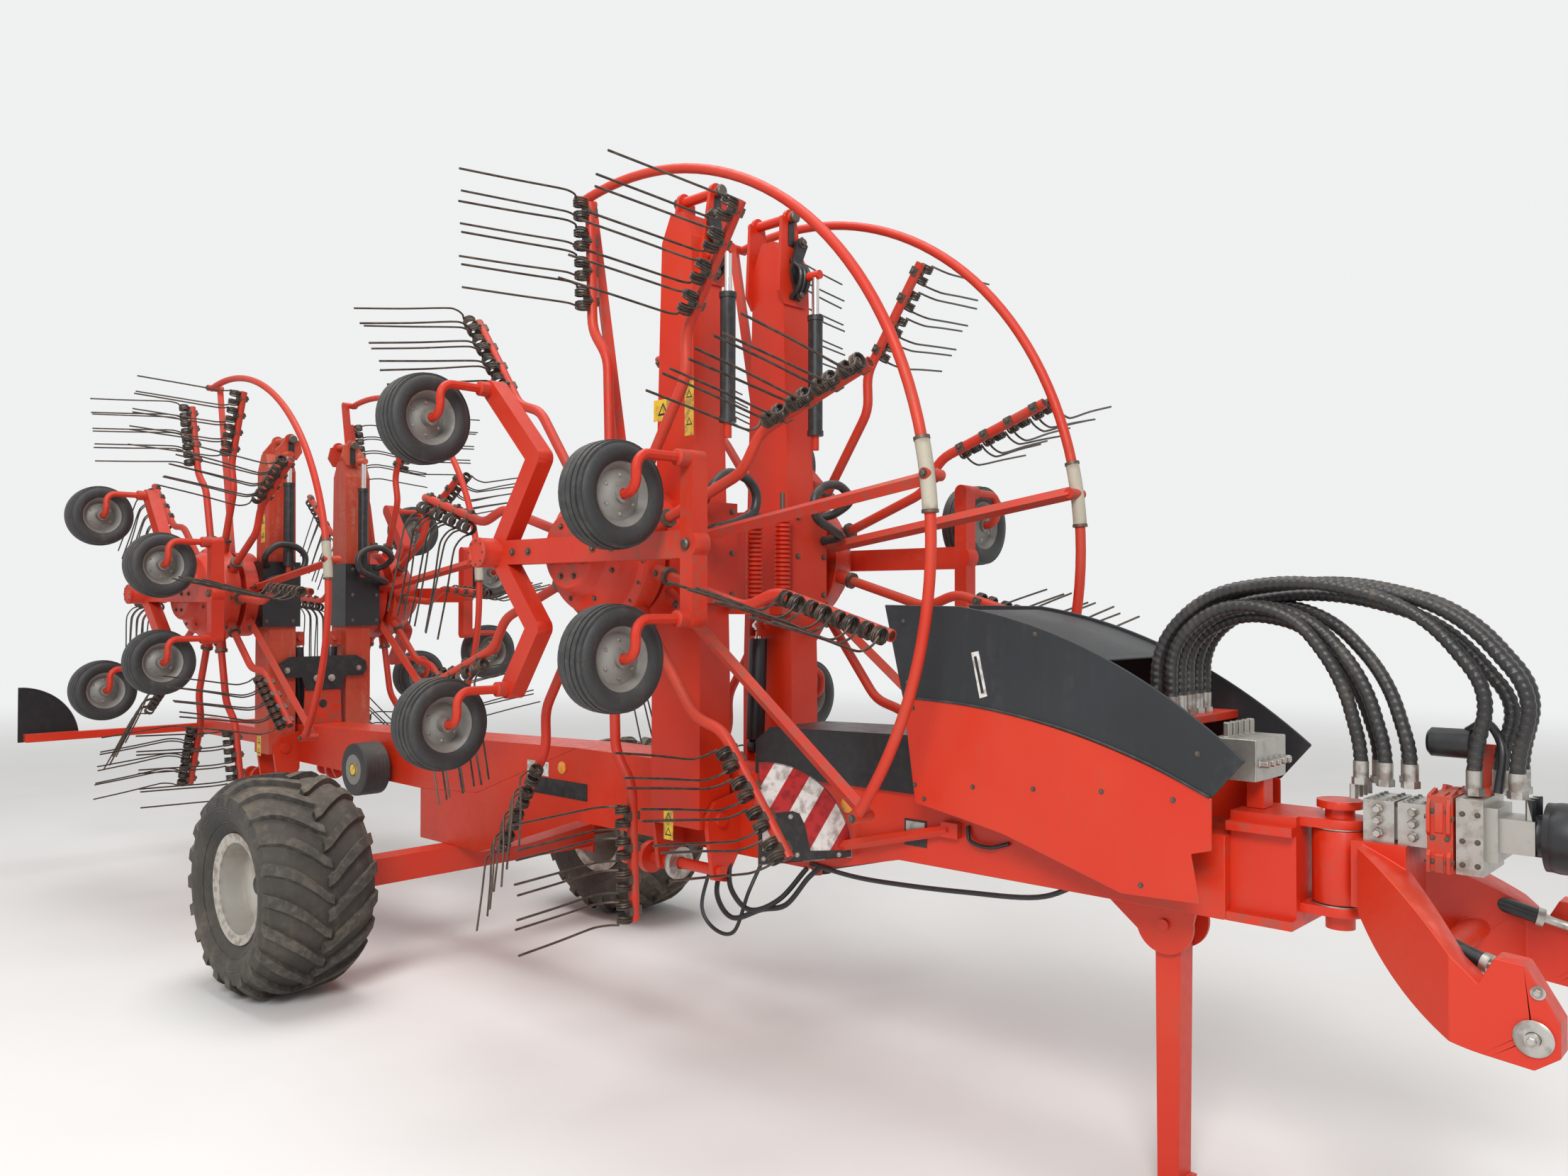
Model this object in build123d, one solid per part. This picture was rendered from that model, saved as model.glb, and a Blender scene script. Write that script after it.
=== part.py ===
from build123d import *
import math
import os

# A towed four-rotor hay rake, folded for the road. Millimetres, +X forwards, +Y to the left, +Z up.
# Sizes are set with x = 0 over the transport axle; at export everything is moved back by
# AXLE_SETBACK, so that the origin lies on the ground in the middle of the footprint.
AXLE_SETBACK = 825

# Transport wheels
TYRE_R = 585
TYRE_W = 600
RIM_R = 292
TRACK = 2380
SPINDLE_R = 45
LUG_H = 32
LUG_W = 74
LUG_LEAN = 38
LUGS_PER_SIDE = 20
LUG_BAR = 150
SPINDLE_OUT = 60
FLANGE_HALF = 110
FLANGE_T = 16

# Main beam, seen from the side
BEAM_W = 340
BEAM_TOP = 1320
BEAM_LOW = 930
BEAM_LOW_FRONT = 1040
BEAM_FRONT_X = 4760
BEAM_RISE_X = 2950
NECK_X = 1250
REAR_BEAM_X = -2700
REAR_BEAM_LOW = 960
REAR_BEAM_DROP = 130
SPARE_X = -790
SPARE_Z = 1030
SPARE_R = 165
AXLE_Z = 560
AXLE_TUBE = 150

# Lift arms: the hinge pin runs fore and aft, beside the beam
FRONT_ARM = {"x": 2290, "hinge_y": 300, "hinge_z": 1110, "top_z": 3890, "base_l": 330, "top_l": 200,
             "foot_y": 125, "foot_z": 1390, "eye_y": 150, "eye_z": 1980, "ear_z": 3565, "shift_z": 3700}
REAR_ARM = {"x": -2120, "hinge_y": 280, "hinge_z": 1060, "top_z": 3150, "base_l": 230, "top_l": 190,
            "foot_y": 110, "foot_z": 1280, "eye_y": 130, "eye_z": 1830, "ear_z": 3115, "shift_z": 3140}
ARM_IN = 90
ARM_OUT = 100
ARM_FOOT = 40
ARM_KNEE = 700
ARM_NOSE = 120
HINGE_R = 32
BARREL_R = 45
ROD_R = 26
ROD_NECK = 95
EYE_R = 34
EYE_W = 44
EYE_TUBE_R = EYE_W / 2 - 4
EAR_T = 16
PIN_R = 16
FIT = 0.1
BRACKET_T = 24
TIE_DROP = 235

# Stop roller on the tie bar, behind the bracket: start, length and radius of each step
STOP_ROLLER = [(0, 300, 28), (90, 34, 75), (260, 26, 58)]
GAP = 6
SEAT = 0.3

# Rotors: the wheel carrier, the hub and the tine arms lie one outside the other, away from the beam
FRONT_ROTOR = {"x": 2100, "z": 2320, "tip_r": 1650, "hoop_r": 1735, "tine_pitch": 140}
REAR_ROTOR = {"x": -2330, "z": 2150, "tip_r": 1450, "hoop_r": 1535, "tine_pitch": 120}
HEAD_R = 300
HEAD_IN = 440
HEAD_T = 90
SLIDE_T = 20
SLIDE_HALF = 230
TINE_PLANE = 620
HUB_R = 330
HUB_IN = 578
HEAD_BOSS_R = 230
SHAFT_R = 60
HUB_OUT = 250
CHASSIS_T = 80
CHASSIS_TUBE_R = 68
CHASSIS_Y = TINE_PLANE + HUB_OUT + 14
CHASSIS_REAR = 430
ARMS_PER_ROTOR = 10
ARM_TUBE_R = 24
ARM_CRANK = 110
TINES_PER_ARM = 4
ARM_ANGLE = {"front": 20, "rear": -4}
TINE_LENGTH = 660
TINE_KNEE = 160
TINE_BACK = 50
TINE_AHEAD = 60
TINE_T = 9
COIL_R = 30
COIL_LENGTH = 104
CLAMP = 46

# How far the cam has turned each tine arm about itself, by the arm's number
ARM_TWIST = {4: -75, 5: -75, 6: -45}
HOOP_TUBE_R = 22
HOOP_LOW = -37
HOOP_STRUT = 8
HOOP_HIGH = 101

# Caster pins under each rotor, as offsets from its centre: name, x, z
FRONT_CASTERS = [("a", 880, 330), ("b", 880, -290), ("c", -480, 760), ("d", -330, -620)]
REAR_CASTERS = [("a", 760, 330), ("b", 760, -290), ("c", -380, 700), ("d", -280, -520)]
CASTER_R = 210
CASTER_W = 160
CASTER_DROP = 150
CASTER_SIDE = CASTER_W / 2 + 60
CASTER_Y = 1215
CASTER_ROD_R = 20
CASTER_BEND = 60

# Hood outlines as x and z: the top edge's arc, the arc between the black and the red panels, the
# red panels' lower edge, and the case on the beam behind them
HOOD_TOP = [(3790, 2080), (4410, 1895), (4880, 1590)]
HOOD_SEAM = [(4770, 1460), (4180, 1652), (3520, 1718)]
HOOD_LOW = [(4770, 1290), (4700, 1270), (4730, 1110), (4450, 1100), (3980, 1240), (3790, 1275), (3580, 1310)]
HOOD_REAR = (3430, 0, 2085)
HOOD_CASE = [(2600, BEAM_TOP), (2600, 1470), (2690, 1535), (3560, 1560), (3560, BEAM_TOP)]
SHEET_DROP = 14
SHEET_START = 3700
SHEET_END = 4380

# Hitch arm as x and z: its top edge's arc, its tip and its lower edge's arc
HITCH_TOP = [(5175, 1340), (5385, 1225), (5570, 1075)]
HITCH_LOW = [(5600, 885), (5370, 955), (5175, 1140)]

# Blocks of the pump unit ahead of the pivot: start, end, half width, lowest and highest point
PUMP_Z = 1350
PUMP_BLOCKS = [(100, 190, 95, 0, 130), (200, 290, 95, 0, 130), (290, 360, 125, -60, 165),
               (368, 440, 125, -60, 165), (440, 470, 90, -20, 140), (470, 560, 70, 10, 110)]
SHAFT_GUARD = [(550, 580, 62), (580, 690, 100)]

# Hood, hitch and stand
HOOD_Y = 300
PANEL_T = 8
PORTS_SHARE = 0.55
HEADSTOCK_HALF = 125
HEADSTOCK_TOP = 1400
PIVOT_TUBE_R = 85
PIVOT_X = 5070
PIVOT_R = 45
LINK_SPREAD = 840
LINK_PIN_R = 18.5
LINK_TIP_X = 5700
LINK_TIP_Z = 960
STAND_X = 4500
STAND_Z = 960
STAND_EAR_R = 105

# Hose arches from the bulkhead under the hood to the ports on the pump: number, spacing, then
# the corners of each arch as x and z
HOSE_R = 20
PORT_Z = 1520
SHORT_HOSES = (4, 84, [(4560, 1960), (4740, 2100), (4960, 2060), (5090, 1860)])
LONG_HOSES = (3, 90, [(4500, 1950), (4680, 2130), (5000, 2175), (5330, 2080), (5570, 1830)])
BULKHEAD_Z = 1700

# Warning boards: quarter discs about their outer lower corner, turned a little outwards
BOARD_R = 420
BOARD_T = 6
BOARD_TURN = 25
BOARD_X = 3160
BOARD_Y = 185
BOARD_Z = 1020
REAR_BOARD_X = -4100
REAR_BOARD_OUT = 1380

# Tops of the lift arms
TOP_EAR_T = 18
TOP_EAR_UP = 150
TOP_EAR_R = 42
TOP_PIN_R = 24
SHIFT_BARREL_R = 34
SHIFT_ROD_R = 18

# Shift cylinder beside a lift arm, down from its top pin: start, end and radius of each step
SHIFT_CYLINDER = [(0, 220, SHIFT_ROD_R), (200, 780, SHIFT_BARREL_R), (780, 860, SHIFT_ROD_R)]


def at_side(shape, side):
    """Right-hand pieces are drawn at -Y; a left-hand one is their mirror image."""
    return shape if side == "right" else mirror(shape, about=Plane.XZ)


def block(x0, x1, y0, y1, z0, z1):
    return Pos((x0 + x1) / 2, (y0 + y1) / 2, (z0 + z1) / 2) * Box(abs(x1 - x0), abs(y1 - y0), abs(z1 - z0))


def plate(outline, y0, y1):
    """A flat outline in x and z, from y0 to y1."""
    face = make_face(Polyline(*[(x, y0, z) for x, z in outline], close=True))
    return extrude(face, amount=abs(y1 - y0), dir=(0, math.copysign(1, y1 - y0), 0))


def rod(start, end, radius, sides=0):
    """A straight bar, round or with flat sides."""
    line = Vector(*end) - Vector(*start)
    section = RegularPolygon(radius, sides) if sides else Circle(radius)
    return extrude(Plane(origin=start, z_dir=line) * section, amount=line.length)


def bent(points, radius, sides=8):
    """A bar with sharp bends."""
    first = Vector(*points[1]) - Vector(*points[0])
    section = Plane(origin=points[0], z_dir=first) * RegularPolygon(radius, sides)
    return sweep(section, path=Polyline(*points), transition=Transition.RIGHT)


def arch(points):
    """A path of straight runs with arcs as large as the runs allow."""
    corners = [Vector(*p) for p in points]
    radii = []
    for before, corner, after in zip(corners, corners[1:], corners[2:]):
        turn = math.radians((corner - before).get_angle(after - corner))
        run = min((corner - before).length, (after - corner).length)
        radii.append(0.45 * run / math.tan(turn / 2))
    return FilletPolyline(*corners, radius=radii)


def spun(profile, x, y, z):
    """A profile of radius and reach, turned about a line along Y through x and z; reach counts from y."""
    face = make_face(Polyline(*[(r, a, 0) for r, a in profile], close=True))
    return Pos(x, y, z) * revolve(face, Axis.Y)


def transport_wheel():
    """Tyre with its lugs, and rim, at the right, about the axle's line."""
    half = TYRE_W / 2
    tread = half - 40
    y = -TRACK / 2
    envelope = [(TYRE_R - 110, -half), (TYRE_R - 30, -tread), (TYRE_R, -tread + 70), (TYRE_R, tread - 70),
                (TYRE_R - 30, tread), (TYRE_R - 110, half)]
    carcass = [(r - LUG_H if r > TYRE_R - 100 else r, a) for r, a in envelope]
    bead = [(RIM_R + 60, half - 20), (RIM_R, half - 60), (RIM_R, -half + 60), (RIM_R + 60, -half + 20)]
    tyre = spun(carcass + bead, 0, 0, 0)
    limit = spun(envelope + bead, 0, 0, 0)
    length = half / math.cos(math.radians(LUG_LEAN)) + 20
    lugs = []
    for side in (-1, 1):
        place = Pos(0, side * (half / 2 + 8), TYRE_R - 60)
        bar = place * Rot(0, 0, side * LUG_LEAN) * Box(LUG_W, length, LUG_BAR)
        for n in range(LUGS_PER_SIDE):
            turn = 360 / LUGS_PER_SIDE * (n + side / 4)
            lugs.append(Rot(0, turn, 0) * bar)
    tyre = Pos(0, y, TYRE_R) * (tyre + [limit & lug for lug in lugs])
    well = RIM_R - SEAT
    rim = spun([(SPINDLE_R + 1, 0), (140, 0), (190, -70), (well - 40, -70), (well - 30, -half + 70),
                (well, -half + 60), (well, half - 60), (well - 30, half - 70), (well - 48, -52), (198, -52),
                (150, 20), (SPINDLE_R + 1, 20)], 0, y, TYRE_R)
    return tyre, rim


def axle():
    """Cross tube with a spindle and hub at each end."""
    inner = TRACK / 2 - TYRE_W / 2 - 40
    half = AXLE_TUBE / 2
    body = block(-half, half, -inner, inner, AXLE_Z - half, AXLE_Z + half)
    for side in (-1, 1):
        spindle = side * (TRACK / 2 + SPINDLE_OUT)
        body += rod((0, side * (inner - 20), TYRE_R), (0, spindle, TYRE_R), SPINDLE_R)
        body += block(-FLANGE_HALF, FLANGE_HALF, side * (inner - FLANGE_T), side * inner,
                      AXLE_Z - FLANGE_HALF, AXLE_Z + FLANGE_HALF + 20)
    return body


def main_beam():
    half = BEAM_W / 2
    outline = [(BEAM_FRONT_X, BEAM_LOW_FRONT), (BEAM_FRONT_X, BEAM_TOP), (NECK_X, BEAM_TOP),
               (300, 980), (-330, 940), (-330, AXLE_Z + AXLE_TUBE / 2), (330, AXLE_Z + AXLE_TUBE / 2),
               (NECK_X, BEAM_LOW), (BEAM_RISE_X, BEAM_LOW), (BEAM_RISE_X + 450, BEAM_LOW_FRONT)]
    return plate(outline, -half, half)


def beam_top_at(x):
    """Height of the beam's top, flat to the neck and sloping down behind it."""
    return BEAM_TOP - REAR_BEAM_DROP * max(NECK_X - x, 0) / (NECK_X - REAR_BEAM_X)


def rear_beam():
    """Sloping box behind the neck, with a spare small wheel on its side."""
    half = BEAM_W / 2
    outline = [(NECK_X, BEAM_TOP), (REAR_BEAM_X, BEAM_TOP - REAR_BEAM_DROP), (REAR_BEAM_X, REAR_BEAM_LOW),
               (-330, 940), (300, 980)]
    beam = plate(outline, -half, half)
    beam += rod((SPARE_X, -half, SPARE_Z), (SPARE_X, -half - 210, SPARE_Z), 40)
    return beam + rod((SPARE_X, -half - 40, SPARE_Z), (SPARE_X, -half - 40 - CASTER_W, SPARE_Z), SPARE_R)


def arm_bracket(arm):
    """Two cheeks on the beam's side with the hinge pin, a tie bar and a stop roller."""
    reach = arm["base_l"] / 2 + GAP
    x, y, z = arm["x"], -arm["hinge_y"], arm["hinge_z"]
    outline = [(-BEAM_W / 2, z + 110), (y - 30, z + 80), (y - 75, z + 20), (y - 75, z - 40),
               (y - 40, z - 270), (y + 40, z - 290), (-BEAM_W / 2, z - 150)]
    solid = None
    for end in (-1, 1):
        inner = x + end * reach
        face = make_face(Polyline(*[(inner, across, h) for across, h in outline], close=True))
        cheek = extrude(face, amount=BRACKET_T, dir=(end, 0, 0))
        solid = cheek if solid is None else solid + cheek
    low = z - TIE_DROP
    over = reach + BRACKET_T + 20
    for height, radius in ((z, HINGE_R), (low, HINGE_R - 6)):
        solid += rod((x - over, y, height), (x + over, y, height), radius)
    for start, length, radius in STOP_ROLLER:
        far = x - reach - start
        solid += rod((far, y, low), (far - length, y, low), radius)
    return solid


def cylinder_foot(arm):
    """Two ears and a pin on top of the beam, under a lift cylinder."""
    x, y, z = arm["x"], -arm["foot_y"], arm["foot_z"]
    reach = EYE_W / 2 + 30
    solid = rod((x - reach, y, z), (x + reach, y, z), PIN_R)
    for end in (-1, 1):
        inner = x + end * (EYE_W / 2 + GAP)
        outer = inner + end * EAR_T
        seat = max(beam_top_at(inner), beam_top_at(outer))
        solid += block(inner, outer, y - 24, y + 24, seat, z + 20)
    return solid


def lift_cylinder(arm):
    """Barrel with its foot eye, and rod with its top eye and pin, at the right."""
    x = arm["x"]
    foot = Vector(x, -arm["foot_y"], arm["foot_z"])
    eye = Vector(x, -arm["eye_y"], arm["eye_z"])
    along = (eye - foot).normalized()
    length = (eye - foot).length
    barrel = rod(foot + along * EYE_R, foot + along * (length - EYE_R - 30), BARREL_R)
    barrel -= rod(foot + along * (EYE_R + 10), foot + along * length, ROD_R + GAP / 2)
    barrel += rod(foot, foot + along * (EYE_R + 5), EYE_TUBE_R)
    barrel += rod((x - EYE_W / 2, foot.Y, foot.Z), (x + EYE_W / 2, foot.Y, foot.Z), EYE_R)
    barrel -= rod((x - EYE_W, foot.Y, foot.Z), (x + EYE_W, foot.Y, foot.Z), PIN_R + FIT)
    piston = rod(foot + along * (EYE_R + 16), foot + along * (length - ROD_NECK), ROD_R)
    piston += rod(foot + along * (length - ROD_NECK - 1), eye, EYE_TUBE_R)
    piston += rod((x - EYE_W / 2, eye.Y, eye.Z), (x + EYE_W / 2, eye.Y, eye.Z), EYE_R)
    return barrel, piston


def lift_arm(arm):
    """Tapered box post that stands on its hinge pin, at the right."""
    x, base, top = arm["x"], arm["base_l"] / 2, arm["top_l"] / 2
    y, eye_y, eye_z = -arm["hinge_y"], -arm["eye_y"], arm["eye_z"]
    y_in, y_out = y + ARM_IN, y - ARM_OUT
    low, head = arm["hinge_z"] - ARM_FOOT, arm["top_z"] - ARM_NOSE
    knee = low + ARM_KNEE
    outline = [(x - base, low), (x + base, low), (x + base, knee), (x + top, head),
               (x + top - 60, arm["top_z"]), (x - top + 60, arm["top_z"]), (x - top, head), (x - base, knee)]
    hole = rod((x - base - 1, y, arm["hinge_z"]), (x + base + 1, y, arm["hinge_z"]), HINGE_R + FIT)
    solid = plate(outline, y_out, y_in) - hole
    ear_y = y_in - TOP_EAR_R
    ear_low, ear_high = arm["ear_z"], arm["top_z"] + TOP_EAR_UP - TOP_EAR_R
    ear = [(y_out + 40, ear_low), (y_in, ear_low), (y_in + 40, ear_low + 60),
           (ear_y + TOP_EAR_R + 20, ear_high), (ear_y - TOP_EAR_R, ear_high), (y_out + 40, ear_low + 60)]
    for end in (-1, 1):
        side = x + end * top
        face = make_face(Polyline(*[(side, across, h) for across, h in ear], close=True))
        solid += extrude(face, amount=TOP_EAR_T, dir=(end, 0, 0))
        solid += rod((side, ear_y, ear_high), (side + end * TOP_EAR_T, ear_y, ear_high), TOP_EAR_R)
    reach = top + TOP_EAR_T + 22
    solid += rod((x - reach, ear_y, ear_high), (x + reach, ear_y, ear_high), TOP_PIN_R)
    shift_x = x + base + GAP + 20 + SHIFT_BARREL_R + 14
    solid += rod((x, y, arm["shift_z"]), (shift_x + 30, y, arm["shift_z"]), TOP_PIN_R - 2)
    for start, end, radius in SHIFT_CYLINDER:
        solid += rod((shift_x, y, arm["shift_z"] - start), (shift_x, y, arm["shift_z"] - end), radius)
    for end in (-1, 1):
        inner = x + end * (EYE_W / 2 + SEAT)
        outer = inner + end * EAR_T
        solid += block(inner, outer, y_in, eye_y + 40, eye_z - 50, eye_z + 50)
        solid += rod((inner, eye_y, eye_z), (outer + end * 22, eye_y, eye_z), PIN_R)
    return solid


def tine_set(centre):
    """Four double spring tines in a row, as offsets from the arm's middle line."""
    solid = None
    for n in range(TINES_PER_ARM):
        x = centre["tip_r"] - CLAMP - n * centre["tine_pitch"]
        low = -COIL_R - ARM_TUBE_R
        coil = rod((x - COIL_LENGTH / 2, low, 0), (x + COIL_LENGTH / 2, low, 0), COIL_R, 6)
        solid = coil if solid is None else solid + coil
        solid += block(x - CLAMP / 2, x + CLAMP / 2, low, ARM_TUBE_R + 8, -18, 18)
        for prong in (-1, 1):
            px = x + prong * (COIL_LENGTH / 2 - TINE_T)
            solid += bent([(px, -COIL_R, -10), (px, -TINE_KNEE, -TINE_BACK), (px, -TINE_LENGTH, TINE_AHEAD)],
                          TINE_T * 0.7, 4)
    return solid


def rotor(centre, first_angle):
    """Bell-shaped hub with its tine arms, turning about a line across the machine, at the right."""
    outer = TINE_PLANE + HUB_OUT
    bore = SHAFT_R + SEAT
    hub = spun([(bore, -HUB_IN), (HUB_R, -HUB_IN), (HUB_R, -TINE_PLANE - 60), (HUB_R - 30, -TINE_PLANE - 90),
                (HUB_R - 60, -outer + 110), (190, -outer + 70), (170, -outer), (bore, -outer)], 0, 0, 0)
    crank_r = centre["tip_r"] - TINES_PER_ARM * centre["tine_pitch"] - 40
    line = [(HUB_R - 60, 0), (crank_r - 150, 0), (crank_r, ARM_CRANK), (centre["tip_r"], ARM_CRANK)]
    bar = bent([(r, -TINE_PLANE, h) for r, h in line], ARM_TUBE_R, 8)
    socket = rod((HUB_R - 40, -TINE_PLANE, 0), (HUB_R + 90, -TINE_PLANE, 0), ARM_TUBE_R + 12)
    tines = tine_set(centre)
    whole = hub
    for n in range(ARMS_PER_ROTOR):
        turned = Pos(0, -TINE_PLANE, ARM_CRANK) * Rot(ARM_TWIST.get(n, 0), 0, 0) * tines
        whole += Rot(0, -360 / ARMS_PER_ROTOR * n - first_angle, 0) * (bar + socket + turned)
    return Pos(centre["x"], 0, centre["z"]) * whole


def strap(points, width, y0, y1):
    """Flat bar with bends, lying in the plane of the rotor."""
    solid = None
    for (xa, za), (xb, zb) in zip(points, points[1:]):
        length = math.hypot(xb - xa, zb - za)
        turn = math.degrees(math.atan2(zb - za, xb - xa))
        place = Pos((xa + xb) / 2, (y0 + y1) / 2, (za + zb) / 2) * Rot(0, -turn, 0)
        run = place * Box(length, abs(y1 - y0), width)
        run += rod((xb, y0, zb), (xb, y1, zb), width / 2)
        solid = run if solid is None else solid + run
    return solid


def rotor_frame(centre, arm, casters):
    """Slide box on the lift arm, fixed shaft, wheel carrier and its caster cranks, at the right."""
    cx, cz = centre["x"], centre["z"]
    half = arm["base_l"] / 2 + GAP
    y_in = -(arm["hinge_y"] - ARM_IN - SEAT)
    y_post = -(arm["hinge_y"] + ARM_OUT + SEAT)
    y_out = -HEAD_IN
    x0, x1 = arm["x"] - half, arm["x"] + half
    solid = block(x0 - SLIDE_T, x1 + SLIDE_T, y_in + SLIDE_T, y_out, cz - SLIDE_HALF, cz + SLIDE_HALF)
    solid -= block(x0, x1, y_in, y_post, cz - SLIDE_HALF - 1, cz + SLIDE_HALF + 1)
    solid += rod((cx, y_out + 40, cz), (cx, y_out - HEAD_T, cz), HEAD_R)
    solid -= block(x0, x1, y_in, y_post, cz - HEAD_R - 101, cz + HEAD_R + 101)
    solid += rod((cx, y_out - HEAD_T + 5, cz), (cx, -HUB_IN + GAP, cz), HEAD_BOSS_R)
    solid += rod((cx, y_out - HEAD_T + 5, cz), (cx, -CHASSIS_Y - 5, cz), SHAFT_R)
    y0, y1 = -CHASSIS_Y, -CHASSIS_Y - CHASSIS_T
    rear_x, front_x = cx - CHASSIS_REAR, cx + casters[0][1]
    low_z, high_z = cz + casters[1][2], cz + casters[0][2]
    solid += rod((rear_x, y0 + 40, cz), (rear_x, y1 - 90, cz), CHASSIS_TUBE_R)
    solid += strap([(rear_x, cz), (front_x, cz)], 110, y0, y1)
    solid += strap([(front_x, low_z), (front_x, high_z)], 70, y0, y1)
    solid += rod((front_x, y0, low_z), (front_x, y1, low_z), 35)
    for name, dx, dz in casters:
        px, pz = cx + dx, cz + dz
        if dx < 0:
            solid += strap([(rear_x, cz), (rear_x + 300, cz + dz * 0.55), (px, pz)], 90, y0, y1)
        hub_z = pz - CASTER_DROP
        path = FilletPolyline((px, y1 + 30, pz), (px, -CASTER_Y, pz), (px, -CASTER_Y, hub_z),
                              (px - CASTER_SIDE - 40, -CASTER_Y, hub_z), radius=CASTER_BEND)
        solid += sweep(Plane(origin=path @ 0, z_dir=path % 0) * RegularPolygon(CASTER_ROD_R, 8), path=path)
    return solid


def around(centre, angle, reach, y):
    """The point at an angle and a distance from a rotor's centre."""
    turn = math.radians(angle)
    return (centre["x"] + reach * math.cos(turn), y, centre["z"] + reach * math.sin(turn))


def hoop(centre):
    """Bent guard tube round the front half of a rotor, with three struts to the head, at the right."""
    y = -HEAD_IN - HEAD_T / 2
    r = centre["hoop_r"]
    turns = (HOOP_LOW, (HOOP_LOW + HOOP_HIGH) / 2, HOOP_HIGH)
    path = ThreePointArc(*[around(centre, angle, r, y - 60) for angle in turns])
    section = Plane(origin=path @ 0, z_dir=path % 0) * RegularPolygon(HOOP_TUBE_R, 8)
    tube = sweep(section, path=path)
    for angle in (HOOP_LOW, HOOP_STRUT, HOOP_HIGH):
        start = around(centre, angle, HEAD_R + SEAT, y)
        end = around(centre, angle, r + 10, y)
        tube += rod(start, end, 30, 4)
        tube += rod((end[0], y + 20, end[2]), (end[0], y - 90, end[2]), 24, 8)
    return tube


def small_wheel(centre, dx, dz):
    """Tyre and rim in one, turning about a line fore and aft, at the right."""
    half = CASTER_W / 2
    profile = [(21, -50), (60, -50), (100, -35), (112, -half + 15), (118, -half + 5), (CASTER_R - 50, -half),
               (CASTER_R - 10, -half + 20), (CASTER_R - 3, -46), (CASTER_R - 12, -42), (CASTER_R - 1, -38),
               (CASTER_R, -16), (CASTER_R - 10, -12), (CASTER_R - 10, 12), (CASTER_R, 16),
               (CASTER_R - 1, 38), (CASTER_R - 12, 42), (CASTER_R - 3, 46), (CASTER_R - 10, half - 20),
               (CASTER_R - 50, half), (118, half - 5), (112, half - 15), (100, 20), (60, 50), (21, 50)]
    face = make_face(Polyline(*[(a, r, 0) for r, a in profile], close=True))
    hub = Pos(centre["x"] + dx - CASTER_SIDE, -CASTER_Y, centre["z"] + dz - CASTER_DROP)
    return hub * revolve(face, Axis.X)


def arc_edge(corners, drop=0):
    """Arc through three points of x and z, as an edge at y = 0."""
    return ThreePointArc(*[(x, 0, z - drop) for x, z in corners])


def hood_panel(edges):
    """The two side panels that have the given outline."""
    face = make_face(edges)
    panel = extrude(face, amount=PANEL_T / 2, both=True, dir=(0, 1, 0))
    return [Pos(0, side * (HOOD_Y - PANEL_T / 2), 0) * panel for side in (-1, 1)]


def side_shields():
    """Red lower panels of the hood."""
    seam = arc_edge(HOOD_SEAM, 1)
    lower = Polyline(seam @ 0, *[(x, 0, z) for x, z in HOOD_LOW], seam @ 1)
    return hood_panel([seam, lower])


def side_covers():
    """Black upper panels of the hood and the bent sheet between them."""
    top, seam = arc_edge(HOOD_TOP), arc_edge(HOOD_SEAM)
    panels = hood_panel([top, Line(top @ 1, seam @ 0), seam, Polyline(seam @ 1, HOOD_REAR, top @ 0)])
    upper, lower = arc_edge(HOOD_TOP, SHEET_DROP), arc_edge(HOOD_TOP, SHEET_DROP + PANEL_T)
    strip = make_face([upper, Line(upper @ 1, lower @ 1), lower, Line(lower @ 0, upper @ 0)])
    inner = HOOD_Y - PANEL_T
    sheet = extrude(strip, amount=inner, both=True, dir=(0, 1, 0))
    return panels + [sheet & block(SHEET_START, SHEET_END, -inner, inner, 1400, 2200)]


def hood_core():
    """Beam-top case, the braces that carry the hood's panels, hose bulkhead and valve block."""
    inner = HOOD_Y - PANEL_T
    case = plate(HOOD_CASE, -190, 190)
    for x, z in ((3640, 1500), (4420, 1420)):
        case += block(x, x + 60, -inner, inner, z, z + 60)
        case += block(x, x + 60, -60, 60, BEAM_TOP, z + 30)
    case += block(4440, 4480, -60, 60, 1420, BULKHEAD_Z - 30)
    case += block(4440, 4620, -inner, inner, BULKHEAD_Z - 30, BULKHEAD_Z)
    valve = block(4700, 4850, -130, 130, 1500, 1640)
    valve += block(4780, 4840, -40, 40, 1400, 1500)
    for n in range(5):
        y = (n - 2) * 48
        valve += rod((4740, y, 1640), (4740, y, 1690), 15, 6)
        valve += rod((4850, y, 1560), (4880, y, 1560), 14, 6)
    return [case, valve]


def headstock():
    """Front block with flanges and the fork of the vertical pivot."""
    start, end = BEAM_FRONT_X, PIVOT_X - 95
    solid = block(start, end, -HEADSTOCK_HALF, HEADSTOCK_HALF, BEAM_LOW_FRONT, HEADSTOCK_TOP)
    for z in (BEAM_LOW_FRONT, 1340):
        solid += block(start, end, -165, 165, z, z + 30)
    for z in (1090, 1370):
        solid += block(end - 15, PIVOT_X, -90, 90, z, z + 30)
        solid += rod((PIVOT_X, 0, z), (PIVOT_X, 0, z + 30), 90)
    solid += rod((PIVOT_X, 0, 1040), (PIVOT_X, 0, 1430), PIVOT_R)
    solid += rod((PIVOT_X, 0, 1430), (PIVOT_X, 0, 1455), PIVOT_R + 25)
    return solid


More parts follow.
